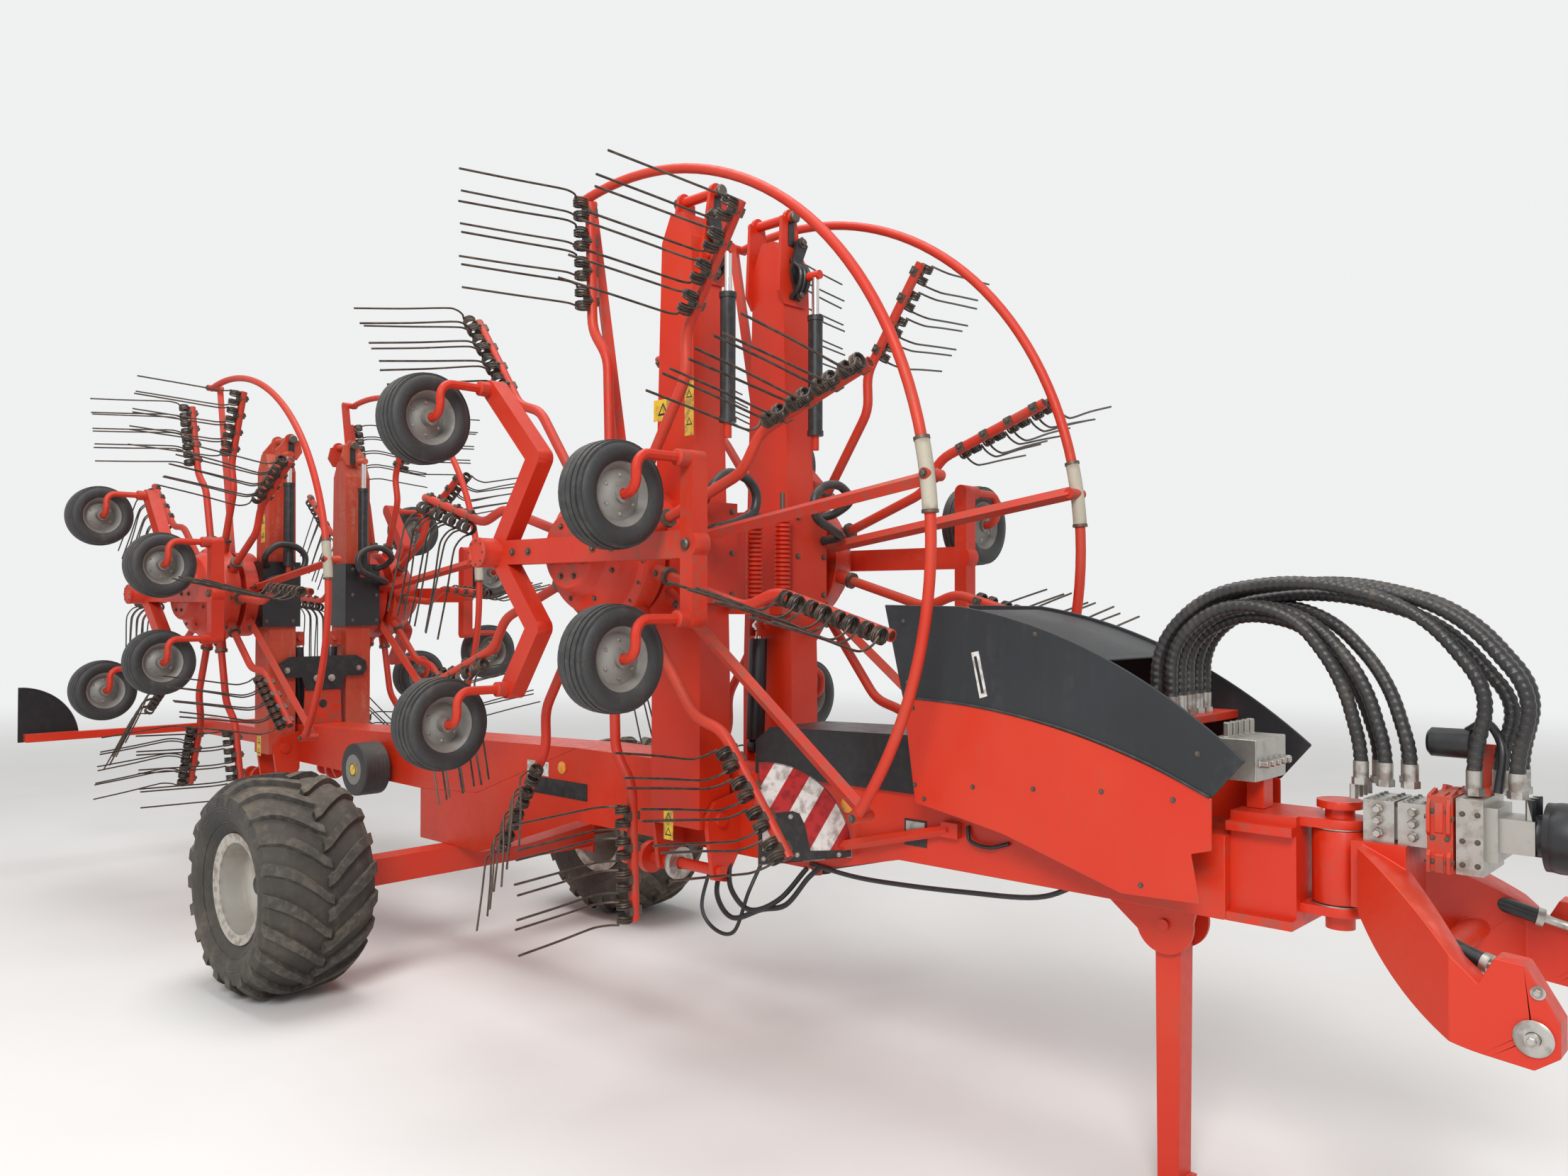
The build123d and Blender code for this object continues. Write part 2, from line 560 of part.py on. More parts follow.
def hitch_arm():
    """Bowed box arm at the right, from the pivot out to the tractor's link arm."""
    half = 45
    y = LINK_SPREAD / 2
    upper, lower = arc_edge(HITCH_TOP), arc_edge(HITCH_LOW)
    nose_x = LINK_TIP_X + 60
    tip = Polyline(upper @ 1, (5610, 0, 1150), (5680, 0, 1145), (nose_x, 0, LINK_TIP_Z + 50),
                   (nose_x, 0, LINK_TIP_Z - 40), (LINK_TIP_X, 0, LINK_TIP_Z - 85), lower @ 0)
    outline = make_face([upper, tip, lower, Line(lower @ 1, upper @ 0)])
    side = extrude(outline, amount=600, both=True, dir=(0, 1, 0))
    plan = make_face(Polyline((5175, -40, 0), (5300, -90, 0), (5520, half - y, 0), (5800, half - y, 0),
                              (5800, -half - y, 0), (5500, -half - y, 0), (5175, -170, 0), close=True))
    return side & extrude(plan, amount=2000, dir=(0, 0, 1))


def hitch_frame():
    """Pivot tube and two bowed arms that reach down to the tractor's link arms."""
    solid = rod((PIVOT_X, 0, 1126), (PIVOT_X, 0, 1364), PIVOT_TUBE_R)
    solid -= rod((PIVOT_X, 0, 1100), (PIVOT_X, 0, 1400), PIVOT_R + FIT)
    solid += block(PIVOT_X + 70, PIVOT_X + 230, -120, 120, 1140, 1350)
    arm = hitch_arm()
    solid += [arm, mirror(arm, about=Plane.XZ)]
    solid += rod((5400, -300, 1050), (5400, 300, 1050), 38)
    for side in (-1, 1):
        y = side * LINK_SPREAD / 2
        solid += rod((LINK_TIP_X, y - 45, LINK_TIP_Z), (LINK_TIP_X, y + 45, LINK_TIP_Z), 52)
        solid -= rod((LINK_TIP_X, y - 80, LINK_TIP_Z), (LINK_TIP_X, y + 80, LINK_TIP_Z), LINK_PIN_R)
    return solid


def pump_unit():
    """Valve blocks, pump, gearbox and drive shaft guard on top of the yoke."""
    z = PUMP_Z
    solid = block(PIVOT_X + 180, PIVOT_X + 450, -70, 70, z + 10, z + 110)
    for start, end, half, low, high in PUMP_BLOCKS:
        solid += block(PIVOT_X + start, PIVOT_X + end, -half, half, z + low, z + high)
    for start, end, radius in SHAFT_GUARD:
        solid += rod((PIVOT_X + start, 0, z + 60), (PIVOT_X + end, 0, z + 60), radius)
    for count, spread, corners in (SHORT_HOSES, LONG_HOSES):
        for n in range(count):
            y = (n - (count - 1) / 2) * spread * PORTS_SHARE
            end = corners[-1][0]
            foot = z + (125 if end < PIVOT_X + 300 else 90)
            solid += rod((end + 45, y, foot), (end + 45, y, PORT_Z), 13, 6)
    return solid


def hoses():
    """Pressure hoses in arches from the hood's bulkhead to the pump's ports."""
    lines = []
    for count, spread, corners in (SHORT_HOSES, LONG_HOSES):
        for n in range(count):
            y = (n - (count - 1) / 2) * spread
            end = PORTS_SHARE * y
            points = [(corners[0][0], y, BULKHEAD_Z + SEAT), (corners[0][0], y, corners[0][1])]
            for share, (px, pz) in zip((0.2, 0.5, 0.9, 1), corners[1:]):
                points.append((px, y + (end - y) * share, pz))
            points.append((corners[-1][0] + 45, end, PORT_Z + 110))
            points.append((corners[-1][0] + 45, end, PORT_Z + SEAT))
            path = arch(points)
            section = Plane(origin=path @ 0, z_dir=path % 0) * RegularPolygon(HOSE_R, 8)
            lines.append(sweep(section, path=path))
    return lines


def stand():
    """Parking stand, swung down, with its sole on the ground."""
    leg = plate([(STAND_X - 42, STAND_Z + 34), (STAND_X + 42, STAND_Z + 34), (STAND_X + 50, STAND_Z - 60),
                 (STAND_X + 40, 60), (STAND_X - 40, 60), (STAND_X - 45, STAND_Z - 60)], -50, 50)
    leg += block(STAND_X - 45, STAND_X + 170, -120, 120, 0, 20)
    leg += block(STAND_X - 40, STAND_X + 60, -60, 60, 20, 60)
    return leg - rod((STAND_X, -60, STAND_Z), (STAND_X, 60, STAND_Z), 20.1)


def stand_bracket():
    """Two round-ended ears under the beam and the stand's pin."""
    ears = None
    for side in (-1, 1):
        outline = [(STAND_X - 240, BEAM_LOW_FRONT), (STAND_X - 90, STAND_Z - 40), (STAND_X, STAND_Z - 100),
                   (STAND_X + 90, STAND_Z - 40), (STAND_X + 120, BEAM_LOW_FRONT)]
        ear = plate(outline, side * 56, side * 72)
        ear += rod((STAND_X, side * 56, STAND_Z), (STAND_X, side * 72, STAND_Z), STAND_EAR_R) & block(
            STAND_X - 200, STAND_X + 200, -100, 100, 0, BEAM_LOW_FRONT)
        ears = ear if ears is None else ears + ear
    return ears + rod((STAND_X, -85, STAND_Z), (STAND_X, 85, STAND_Z), 20)


def quarter_board(side):
    """Quarter disc across the machine, its corner outside and below, its inner corner at the origin."""
    corner = -BOARD_R
    middle = (0, corner + BOARD_R * math.cos(math.pi / 4), BOARD_R * math.sin(math.pi / 4))
    arc = ThreePointArc((0, 0, 0), middle, (0, corner, BOARD_R))
    face = make_face([arc, Polyline(arc @ 1, (0, corner, 0), arc @ 0)])
    return at_side(extrude(face, amount=BOARD_T, dir=(1, 0, 0)), side)


def warning_boards():
    """Front boards on struts beside the beam, and rear boards on a cross tube."""
    boards = []
    for side in ("right", "left"):
        turned = Rot(0, 0, -BOARD_TURN if side == "right" else BOARD_TURN) * quarter_board(side)
        way = -1 if side == "right" else 1
        board = Pos(BOARD_X, way * BOARD_Y, BOARD_Z) * turned
        foot = (3664, way * (BEAM_W / 2 + SEAT + 22), 1200)
        strut = rod(foot, (BOARD_X - 20, way * (BOARD_Y + 40), BOARD_Z + 50), 22, 4)
        board += strut + block(3630, 3710, way * (BEAM_W / 2), way * (BEAM_W / 2 + 30), 1170, 1230)
        boards.append(board)
    rear = block(REAR_BOARD_X, REAR_BEAM_X, -60, 60, 1000, 1120)
    rear += block(REAR_BOARD_X, REAR_BOARD_X + 60, 40 - REAR_BOARD_OUT, REAR_BOARD_OUT - 40, 1020, 1080)
    for side in ("right", "left"):
        way = -1 if side == "right" else 1
        place = Pos(REAR_BOARD_X - BOARD_T, way * (REAR_BOARD_OUT - BOARD_R), BOARD_Z)
        rear += place * quarter_board(side)
    return boards, rear


def build():
    nodes = {}
    tyre, rim = transport_wheel()
    for side in ("right", "left"):
        nodes["tyre_" + side] = at_side(tyre, side)
        nodes["rim_" + side] = at_side(rim, side)
    nodes["axle"] = axle()
    nodes["main_beam"] = main_beam()
    nodes["rear_beam"] = rear_beam()
    nodes["headstock"] = headstock()
    nodes["hood_core"] = Compound(hood_core())
    nodes["side_shields"] = Compound(side_shields())
    nodes["side_covers"] = Compound(side_covers())
    nodes["hitch_frame"] = hitch_frame()
    nodes["pump_unit"] = pump_unit()
    nodes["hoses"] = Compound(hoses())
    nodes["stand"] = stand()
    nodes["stand_bracket"] = stand_bracket()
    boards, rear = warning_boards()
    nodes["front_boards"] = Compound(boards)
    nodes["rear_carrier"] = rear
    for end, arm, centre, casters in (("front", FRONT_ARM, FRONT_ROTOR, FRONT_CASTERS),
                                      ("rear", REAR_ARM, REAR_ROTOR, REAR_CASTERS)):
        barrel, piston = lift_cylinder(arm)
        pieces = {"arm": lift_arm(arm), "rotor": rotor(centre, ARM_ANGLE[end]), "barrel": barrel,
                  "rod": piston, "frame": rotor_frame(centre, arm, casters), "hoop": hoop(centre)}
        for name, dx, dz in casters:
            pieces["wheel_" + name] = small_wheel(centre, dx, dz)
        mounts = [arm_bracket(arm), cylinder_foot(arm)]
        both = [at_side(piece, side) for piece in mounts for side in ("right", "left")]
        nodes[end + "_brackets"] = Compound(both)
        for side in ("right", "left"):
            for piece, shape in pieces.items():
                nodes[f"{end}_{piece}_{side}"] = at_side(shape, side)
    return nodes


os.makedirs("parts", exist_ok=True)
for node, shape in build().items():
    export_step(Pos(-AXLE_SETBACK, 0, 0) * shape, f"parts/{node}.step")
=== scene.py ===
"""Finishes and fittings of a folded four-rotor hay rake, dressed round its fixed frame."""

import logging
import math
from collections.abc import Iterator, Sequence
from dataclasses import dataclass
from enum import Enum
from functools import cached_property

import bmesh
import bpy
import numpy as np
from mathutils import Matrix, Vector


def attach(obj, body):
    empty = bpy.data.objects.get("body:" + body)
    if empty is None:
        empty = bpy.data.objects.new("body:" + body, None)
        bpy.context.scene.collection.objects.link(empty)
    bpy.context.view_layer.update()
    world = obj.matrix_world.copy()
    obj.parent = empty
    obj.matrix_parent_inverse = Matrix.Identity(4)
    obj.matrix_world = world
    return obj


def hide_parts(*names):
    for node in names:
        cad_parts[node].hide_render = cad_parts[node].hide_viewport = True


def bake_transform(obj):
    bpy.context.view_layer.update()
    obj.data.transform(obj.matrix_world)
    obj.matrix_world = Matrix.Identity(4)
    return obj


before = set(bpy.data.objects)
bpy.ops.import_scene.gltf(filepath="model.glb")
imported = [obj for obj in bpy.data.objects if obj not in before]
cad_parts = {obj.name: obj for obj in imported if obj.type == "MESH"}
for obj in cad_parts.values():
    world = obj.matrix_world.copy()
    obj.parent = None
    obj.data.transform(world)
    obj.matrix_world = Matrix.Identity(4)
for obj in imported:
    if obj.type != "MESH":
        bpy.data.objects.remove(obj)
log = logging.getLogger("rake")

SIDES = ("right", "left")
Point = tuple[float, float, float]
Colour = tuple[float, float, float]
Pair = tuple[float, float]
Outline = tuple[Pair, ...]


class Axis(Enum):
    """The machine's three directions, and the way out at its right side."""

    ALONG = (1.0, 0.0, 0.0)
    ACROSS = (0.0, 1.0, 0.0)
    UP = (0.0, 0.0, 1.0)
    OUT = (0.0, -1.0, 0.0)


class Slot(Enum):
    """Names of material slots, which the builds take but do not use."""

    RED = "red"
    BLACK = "black"
    TYRE = "tyre"
    RIM = "rim"
    CHROME = "chrome"
    BOARD = "board"
    PUMP = "pump"


MIRROR = Matrix.Scale(-1, 4, Vector(Axis.ACROSS.value))


def placed(name: str, data: bpy.types.ID) -> bpy.types.Object:
    """Makes an object and links it to the scene.

    Args:
        name: its name.
        data: its mesh, lamp or camera.

    Returns:
        The object.
    """
    made = bpy.data.objects.new(name, data)
    bpy.context.scene.collection.objects.link(made)
    return made


# Shaders


class Tree:
    """Places nodes in one shader tree and joins their sockets."""

    def __init__(self, tree: bpy.types.NodeTree) -> None:
        """Keeps the tree of a material, world or node group, that the nodes go into."""
        self.tree = tree

    def node(self, kind: str, **settings: object) -> bpy.types.Node:
        """Adds a node and sets its attributes.

        Args:
            kind: the node's type name.
            settings: attribute values of the node.

        Returns:
            The new node.
        """
        made = self.tree.nodes.new(kind)
        for name, value in settings.items():
            setattr(made, name, value)
        return made

    def join(self, source: bpy.types.NodeSocket, target: bpy.types.NodeSocket) -> None:
        """Links an output socket to an input socket."""
        self.tree.links.new(source, target)

    def feed(self, target: bpy.types.NodeSocket, value: object) -> None:
        """Sets an input socket from a socket or from a plain value.

        Args:
            target: the input socket.
            value: another node's output socket, a number, or a colour.
        """
        if isinstance(value, bpy.types.NodeSocket):
            self.join(value, target)
        elif isinstance(value, tuple) and len(value) == 3 and target.type == "RGBA":
            target.default_value = (*value, 1.0)
        else:
            target.default_value = value

    def math(self, operation: str, *values: object, clamp: bool = False) -> bpy.types.NodeSocket:
        """Adds a Math node.

        Args:
            operation: the node's operation.
            values: its one to three inputs.
            clamp: keeps the result between 0 and 1.

        Returns:
            The result's socket.
        """
        made = self.node("ShaderNodeMath", operation=operation, use_clamp=clamp)
        for number, value in enumerate(values):
            self.feed(made.inputs[number], value)
        return made.outputs[0]

    def times(self, first: object, second: object, clamp: bool = False) -> bpy.types.NodeSocket:
        """Multiplies two values."""
        return self.math("MULTIPLY", first, second, clamp=clamp)

    def add_times(self, first: object, second: object, more: object) -> bpy.types.NodeSocket:
        """Multiplies two values and adds a third."""
        return self.math("MULTIPLY_ADD", first, second, more)

    def noise(self, where: bpy.types.NodeSocket, scale: float, detail: float) -> bpy.types.NodeSocket:
        """Adds a noise texture.

        Args:
            where: the coordinates' socket.
            scale: the noise's scale.
            detail: the noise's octaves.

        Returns:
            The noise's value socket.
        """
        made = self.node("ShaderNodeTexNoise")
        for label, value in (("Vector", where), ("Scale", scale), ("Detail", detail)):
            self.feed(made.inputs[label], value)
        return made.outputs["Fac"]

    def span(self, value: object, low: float, high: float) -> bpy.types.NodeSocket:
        """Maps low..high to 0..1, smoothly, with both ends held.

        Args:
            value: the socket to map.
            low: what becomes 0.
            high: what becomes 1.

        Returns:
            The mapped socket.
        """
        made = self.node("ShaderNodeMapRange", interpolation_type="SMOOTHSTEP")
        for label, given in (("Value", value), ("From Min", low), ("From Max", high)):
            self.feed(made.inputs[label], given)
        return made.outputs["Result"]

    def blend(self, share: object, first: object, second: object,
              kind: str = "MIX") -> bpy.types.NodeSocket:
        """Mixes two colours.

        Args:
            share: how much of the second.
            first: a colour or socket.
            second: a colour or socket.
            kind: the way that they mix.

        Returns:
            The mixed colour's socket.
        """
        made = self.node("ShaderNodeMix", data_type="RGBA", blend_type=kind)
        for number, value in ((0, share), (6, first), (7, second)):
            self.feed(made.inputs[number], value)
        return made.outputs[2]

    def part(self, vector: bpy.types.NodeSocket, letter: str) -> bpy.types.NodeSocket:
        """Takes X, Y or Z from a vector.

        Args:
            vector: the vector's socket.
            letter: X, Y or Z.

        Returns:
            The number's socket.
        """
        made = self.node("ShaderNodeSeparateXYZ")
        self.join(vector, made.inputs[0])
        return made.outputs[letter]

    def place(self) -> bpy.types.NodeSocket:
        """The coordinates in the object's own frame."""
        return self.node("ShaderNodeTexCoord").outputs["Object"]


@dataclass
class Weathering:
    """Field dirt, faded patches and rubbed edges over a base colour.

    A noise is its scale and detail. A span is where its effect starts and where it is whole.
    """

    broad: Pair = (1.9, 5.0)
    fine: Pair = (26.0, 6.0)
    specks: Pair = (150.0, 3.0)
    runs: Pair = (2.2, 6.0)
    runs_stretch: Point = (9.0, 9.0, 0.9)
    shelf_span: Pair = (0.25, 0.95)
    shelf_share: float = 0.55
    splash_span: Pair = (1.5, 0.2)
    splash_share: float = 0.35
    streak_span: Pair = (0.48, 0.72)
    streak_share: float = 0.55
    grain_span: Pair = (0.3, 0.7)
    grain_share: float = 0.08
    patch_span: Pair = (0.34, 0.74)
    patch_fine: Pair = (0.2, 0.75)
    even_share: float = 0.18
    speck_span: Pair = (0.62, 0.74)
    speck_share: float = 0.5
    edge_span: Pair = (0.53, 0.6)
    edge_fine: Pair = (0.42, 0.66)
    fade_span: Pair = (0.35, 0.7)
    fade_share: float = 0.6
    fine_height: float = 0.35
    dirt_height: float = 0.9

    @cached_property
    def group(self) -> bpy.types.NodeTree:
        """The node group, with Colour, Roughness and Height outputs.

        Returns:
            The group, built once and then shared.
        """
        group = bpy.data.node_groups.new("weathering", "ShaderNodeTree")
        for way, kind, labels in (
            ("INPUT", "NodeSocketColor", ("Base", "Faded", "Dirt", "Bare")),
            ("INPUT", "NodeSocketFloat", ("Dirt Amount", "Wear", "Grain", "Sheen Loss")),
            ("OUTPUT", "NodeSocketColor", ("Colour",)),
            ("OUTPUT", "NodeSocketFloat", ("Roughness", "Height")),
        ):
            for label in labels:
                group.interface.new_socket(label, in_out=way, socket_type=kind)
        tree = Tree(group)
        given = tree.node("NodeGroupInput").outputs
        out = tree.node("NodeGroupOutput").inputs
        where = tree.place()
        surface = tree.node("ShaderNodeNewGeometry").outputs
        stretch = tree.node("ShaderNodeMapping", vector_type="POINT")
        tree.join(where, stretch.inputs["Vector"])
        stretch.inputs["Scale"].default_value = self.runs_stretch
        broad, fine, speck = (tree.noise(where, *look) for look in (self.broad, self.fine, self.specks))
        runs = tree.noise(stretch.outputs["Vector"], *self.runs)
        grain = tree.span(fine, *self.grain_span)
        # Dirt lies on what faces up, low down, and in streaks
        splash = tree.times(tree.span(tree.part(where, "Z"), *self.splash_span), self.splash_share)
        shelf = tree.span(tree.part(surface["Normal"], "Z"), *self.shelf_span)
        streaked = tree.times(tree.span(runs, *self.streak_span), grain)
        heap = tree.add_times(shelf, self.shelf_share, splash)
        heap = tree.add_times(streaked, self.streak_share, heap)
        patch = tree.times(tree.span(broad, *self.patch_span), tree.span(fine, *self.patch_fine))
        thick = tree.add_times(heap, patch, tree.times(heap, self.even_share))
        amount = tree.times(thick, given["Dirt Amount"], clamp=True)
        specks = tree.times(tree.span(speck, *self.speck_span),
                            tree.times(given["Dirt Amount"], self.speck_share))
        amount = tree.math("MAXIMUM", amount, specks, clamp=True)
        # Edges rub bare, and broad patches fade
        rubbed = tree.times(tree.span(surface["Pointiness"], *self.edge_span),
                            tree.span(fine, *self.edge_fine))
        rubbed = tree.times(rubbed, given["Wear"], clamp=True)
        patchy = tree.times(tree.span(broad, *self.fade_span), self.fade_share)
        worn = tree.blend(rubbed, tree.blend(patchy, given["Base"], given["Faded"]), given["Bare"])
        tree.join(tree.blend(amount, worn, given["Dirt"]), out["Colour"])
        dull = tree.add_times(amount, given["Sheen Loss"], given["Grain"])
        tree.join(tree.add_times(grain, self.grain_share, dull), out["Roughness"])
        height = tree.add_times(fine, self.fine_height, tree.times(amount, self.dirt_height))
        tree.join(height, out["Height"])
        return group


WEATHERING = Weathering()


@dataclass(frozen=True)
class Finish:
    """A surface that weathers: paint, rubber, plastic or metal."""

    name: str
    base: Colour
    faded: Colour
    dirt: Colour = (0.30, 0.235, 0.165)
    bare: Colour = (0.16, 0.10, 0.07)
    roughness: float = 0.38
    metallic: float = 0.0
    coat: float = 0.0
    dirt_amount: float = 0.6
    wear: float = 0.6
    relief: float = 0.0012
    bump: float = 0.6
    sheen_loss: float = 0.35
    coat_roughness: float = 0.12

    def material(self) -> bpy.types.Material:
        """Finds the finish's material, or makes it.

        Returns:
            The material, with its nodes.
        """
        found = bpy.data.materials.get(self.name)
        if found:
            return found
        made = bpy.data.materials.new(self.name)
        made.use_nodes = True
        tree = Tree(made.node_tree)
        worn = tree.node("ShaderNodeGroup", node_tree=WEATHERING.group)
        bump = tree.node("ShaderNodeBump")
        for node, values in (
            (worn, {"Base": self.base, "Faded": self.faded, "Dirt": self.dirt, "Bare": self.bare,
                    "Dirt Amount": self.dirt_amount, "Wear": self.wear, "Grain": self.roughness,
                    "Sheen Loss": self.sheen_loss}),
            (bump, {"Distance": self.relief, "Strength": self.bump, "Height": worn.outputs["Height"]}),
            (made.node_tree.nodes["Principled BSDF"],
             {"Base Color": self.detail(tree, worn.outputs["Colour"]), "Roughness": worn.outputs["Roughness"],
              "Normal": bump.outputs["Normal"], "Metallic": self.metallic, "Coat Weight": self.coat,
              "Coat Roughness": self.coat_roughness}),
        ):
            for label, value in values.items():
                tree.feed(node.inputs[label], value)
        return made

    def detail(self, tree: Tree, colour: bpy.types.NodeSocket) -> bpy.types.NodeSocket:
        """What a special finish adds over the weathered colour; a plain one adds nothing."""
        return colour


RED = Finish("red_paint", (0.60, 0.022, 0.002), (0.63, 0.040, 0.008), (0.22, 0.115, 0.07),
             coat=0.04, dirt_amount=0.40)
ARM_RED = Finish("worn_red_paint", (0.55, 0.022, 0.004), (0.58, 0.055, 0.022), (0.20, 0.105, 0.065),
                 roughness=0.48, dirt_amount=0.45, wear=0.35)
STREAKED_RED = Finish("streaked_red_paint", (0.50, 0.030, 0.008), (0.52, 0.12, 0.06), (0.50, 0.42, 0.33),
                      roughness=0.5, dirt_amount=0.95, wear=0.5)
BLACK = Finish("black_paint", (0.009, 0.010, 0.012), (0.015, 0.016, 0.018), (0.07, 0.06, 0.05),
               (0.14, 0.12, 0.10), coat=0.06, dirt_amount=0.14, wear=0.12)
HOOD_BLACK = Finish("moulded_black_panel", (0.012, 0.015, 0.018), (0.022, 0.026, 0.030), (0.16, 0.14, 0.11),
                    (0.12, 0.12, 0.12), roughness=0.5, dirt_amount=0.22, wear=0.3)
TYRE = Finish("tyre_rubber", (0.030, 0.029, 0.028), (0.075, 0.070, 0.062), (0.26, 0.205, 0.145),
              (0.10, 0.09, 0.075), roughness=0.72, dirt_amount=0.9, relief=0.003, sheen_loss=0.2)
SMALL_TYRE = Finish("small_tyre_rubber", (0.024, 0.025, 0.026), (0.05, 0.05, 0.05), (0.20, 0.17, 0.13),
                    (0.08, 0.075, 0.07), roughness=0.55, relief=0.002)
RIM = Finish("silver_rim", (0.52, 0.50, 0.46), (0.42, 0.39, 0.34), (0.24, 0.18, 0.12), (0.22, 0.12, 0.07),
             roughness=0.42, metallic=0.35, dirt_amount=1.0)
GREY_RIM = Finish("grey_rim", (0.27, 0.265, 0.245), (0.21, 0.20, 0.185), (0.22, 0.18, 0.13),
                  (0.18, 0.10, 0.07), roughness=0.5, metallic=0.3, dirt_amount=0.9)
CHROME = Finish("piston_chrome", (0.72, 0.71, 0.69), (0.66, 0.64, 0.61), roughness=0.14, metallic=1.0,
                dirt_amount=0.25, wear=0.0, relief=0.0002)
STEEL = Finish("bright_steel", (0.50, 0.49, 0.46), (0.40, 0.38, 0.34), roughness=0.34, metallic=0.85)
SPRING = Finish("tine_steel", (0.035, 0.031, 0.028), (0.075, 0.060, 0.048), (0.16, 0.11, 0.07),
                (0.14, 0.09, 0.06), roughness=0.42, metallic=0.4, dirt_amount=0.7)
BOLT = Finish("dull_bolt", (0.13, 0.115, 0.10), (0.10, 0.075, 0.055), roughness=0.45, metallic=0.7)
WHITE = Finish("white_plate", (0.78, 0.77, 0.74), (0.68, 0.67, 0.64), roughness=0.45, dirt_amount=0.7)
AMBER = Finish("amber_reflector", (0.85, 0.30, 0.02), (0.80, 0.34, 0.06), roughness=0.25, dirt_amount=0.4)
YELLOW = Finish("yellow_label", (0.86, 0.58, 0.03), (0.80, 0.56, 0.10), roughness=0.45)
CASTING = Finish("red_casting", (0.55, 0.030, 0.008), (0.50, 0.05, 0.02), roughness=0.5, dirt_amount=0.5)
CREAM = Finish("cream_sleeve", (0.50, 0.46, 0.37), (0.40, 0.35, 0.27), dirt_amount=0.9, roughness=0.6)
HOSE = Finish("hose_rubber", (0.016, 0.016, 0.017), (0.035, 0.034, 0.033), dirt_amount=0.35, wear=0.2)


@dataclass(frozen=True)
class StripedFinish(Finish):
    """Red and white reflecting stripes that slope up towards the machine's middle."""

    stripe: Colour = (0.62, 0.02, 0.025)
    period: float = 0.18
    slope: float = 1.7

    def detail(self, tree: Tree, colour: bpy.types.NodeSocket) -> bpy.types.NodeSocket:
        """Lays the red stripes under the dirt of the white sheet.

        Args:
            tree: the material's tree.
            colour: the weathered colour.

        Returns:
            The striped colour's socket.
        """
        where = tree.place()
        across = tree.math("ABSOLUTE", tree.part(where, "Y"))
        along = tree.add_times(tree.part(where, "Z"), 1.0 / self.slope, across)
        share = tree.math("FRACT", tree.math("DIVIDE", along, self.period))
        return tree.blend(tree.math("GREATER_THAN", share, 0.5), colour, self.stripe, "MULTIPLY")


STRIPES = StripedFinish("warning_stripes", (0.74, 0.73, 0.70), (0.62, 0.61, 0.58), roughness=0.35,
                        dirt_amount=0.4)


# Meshes


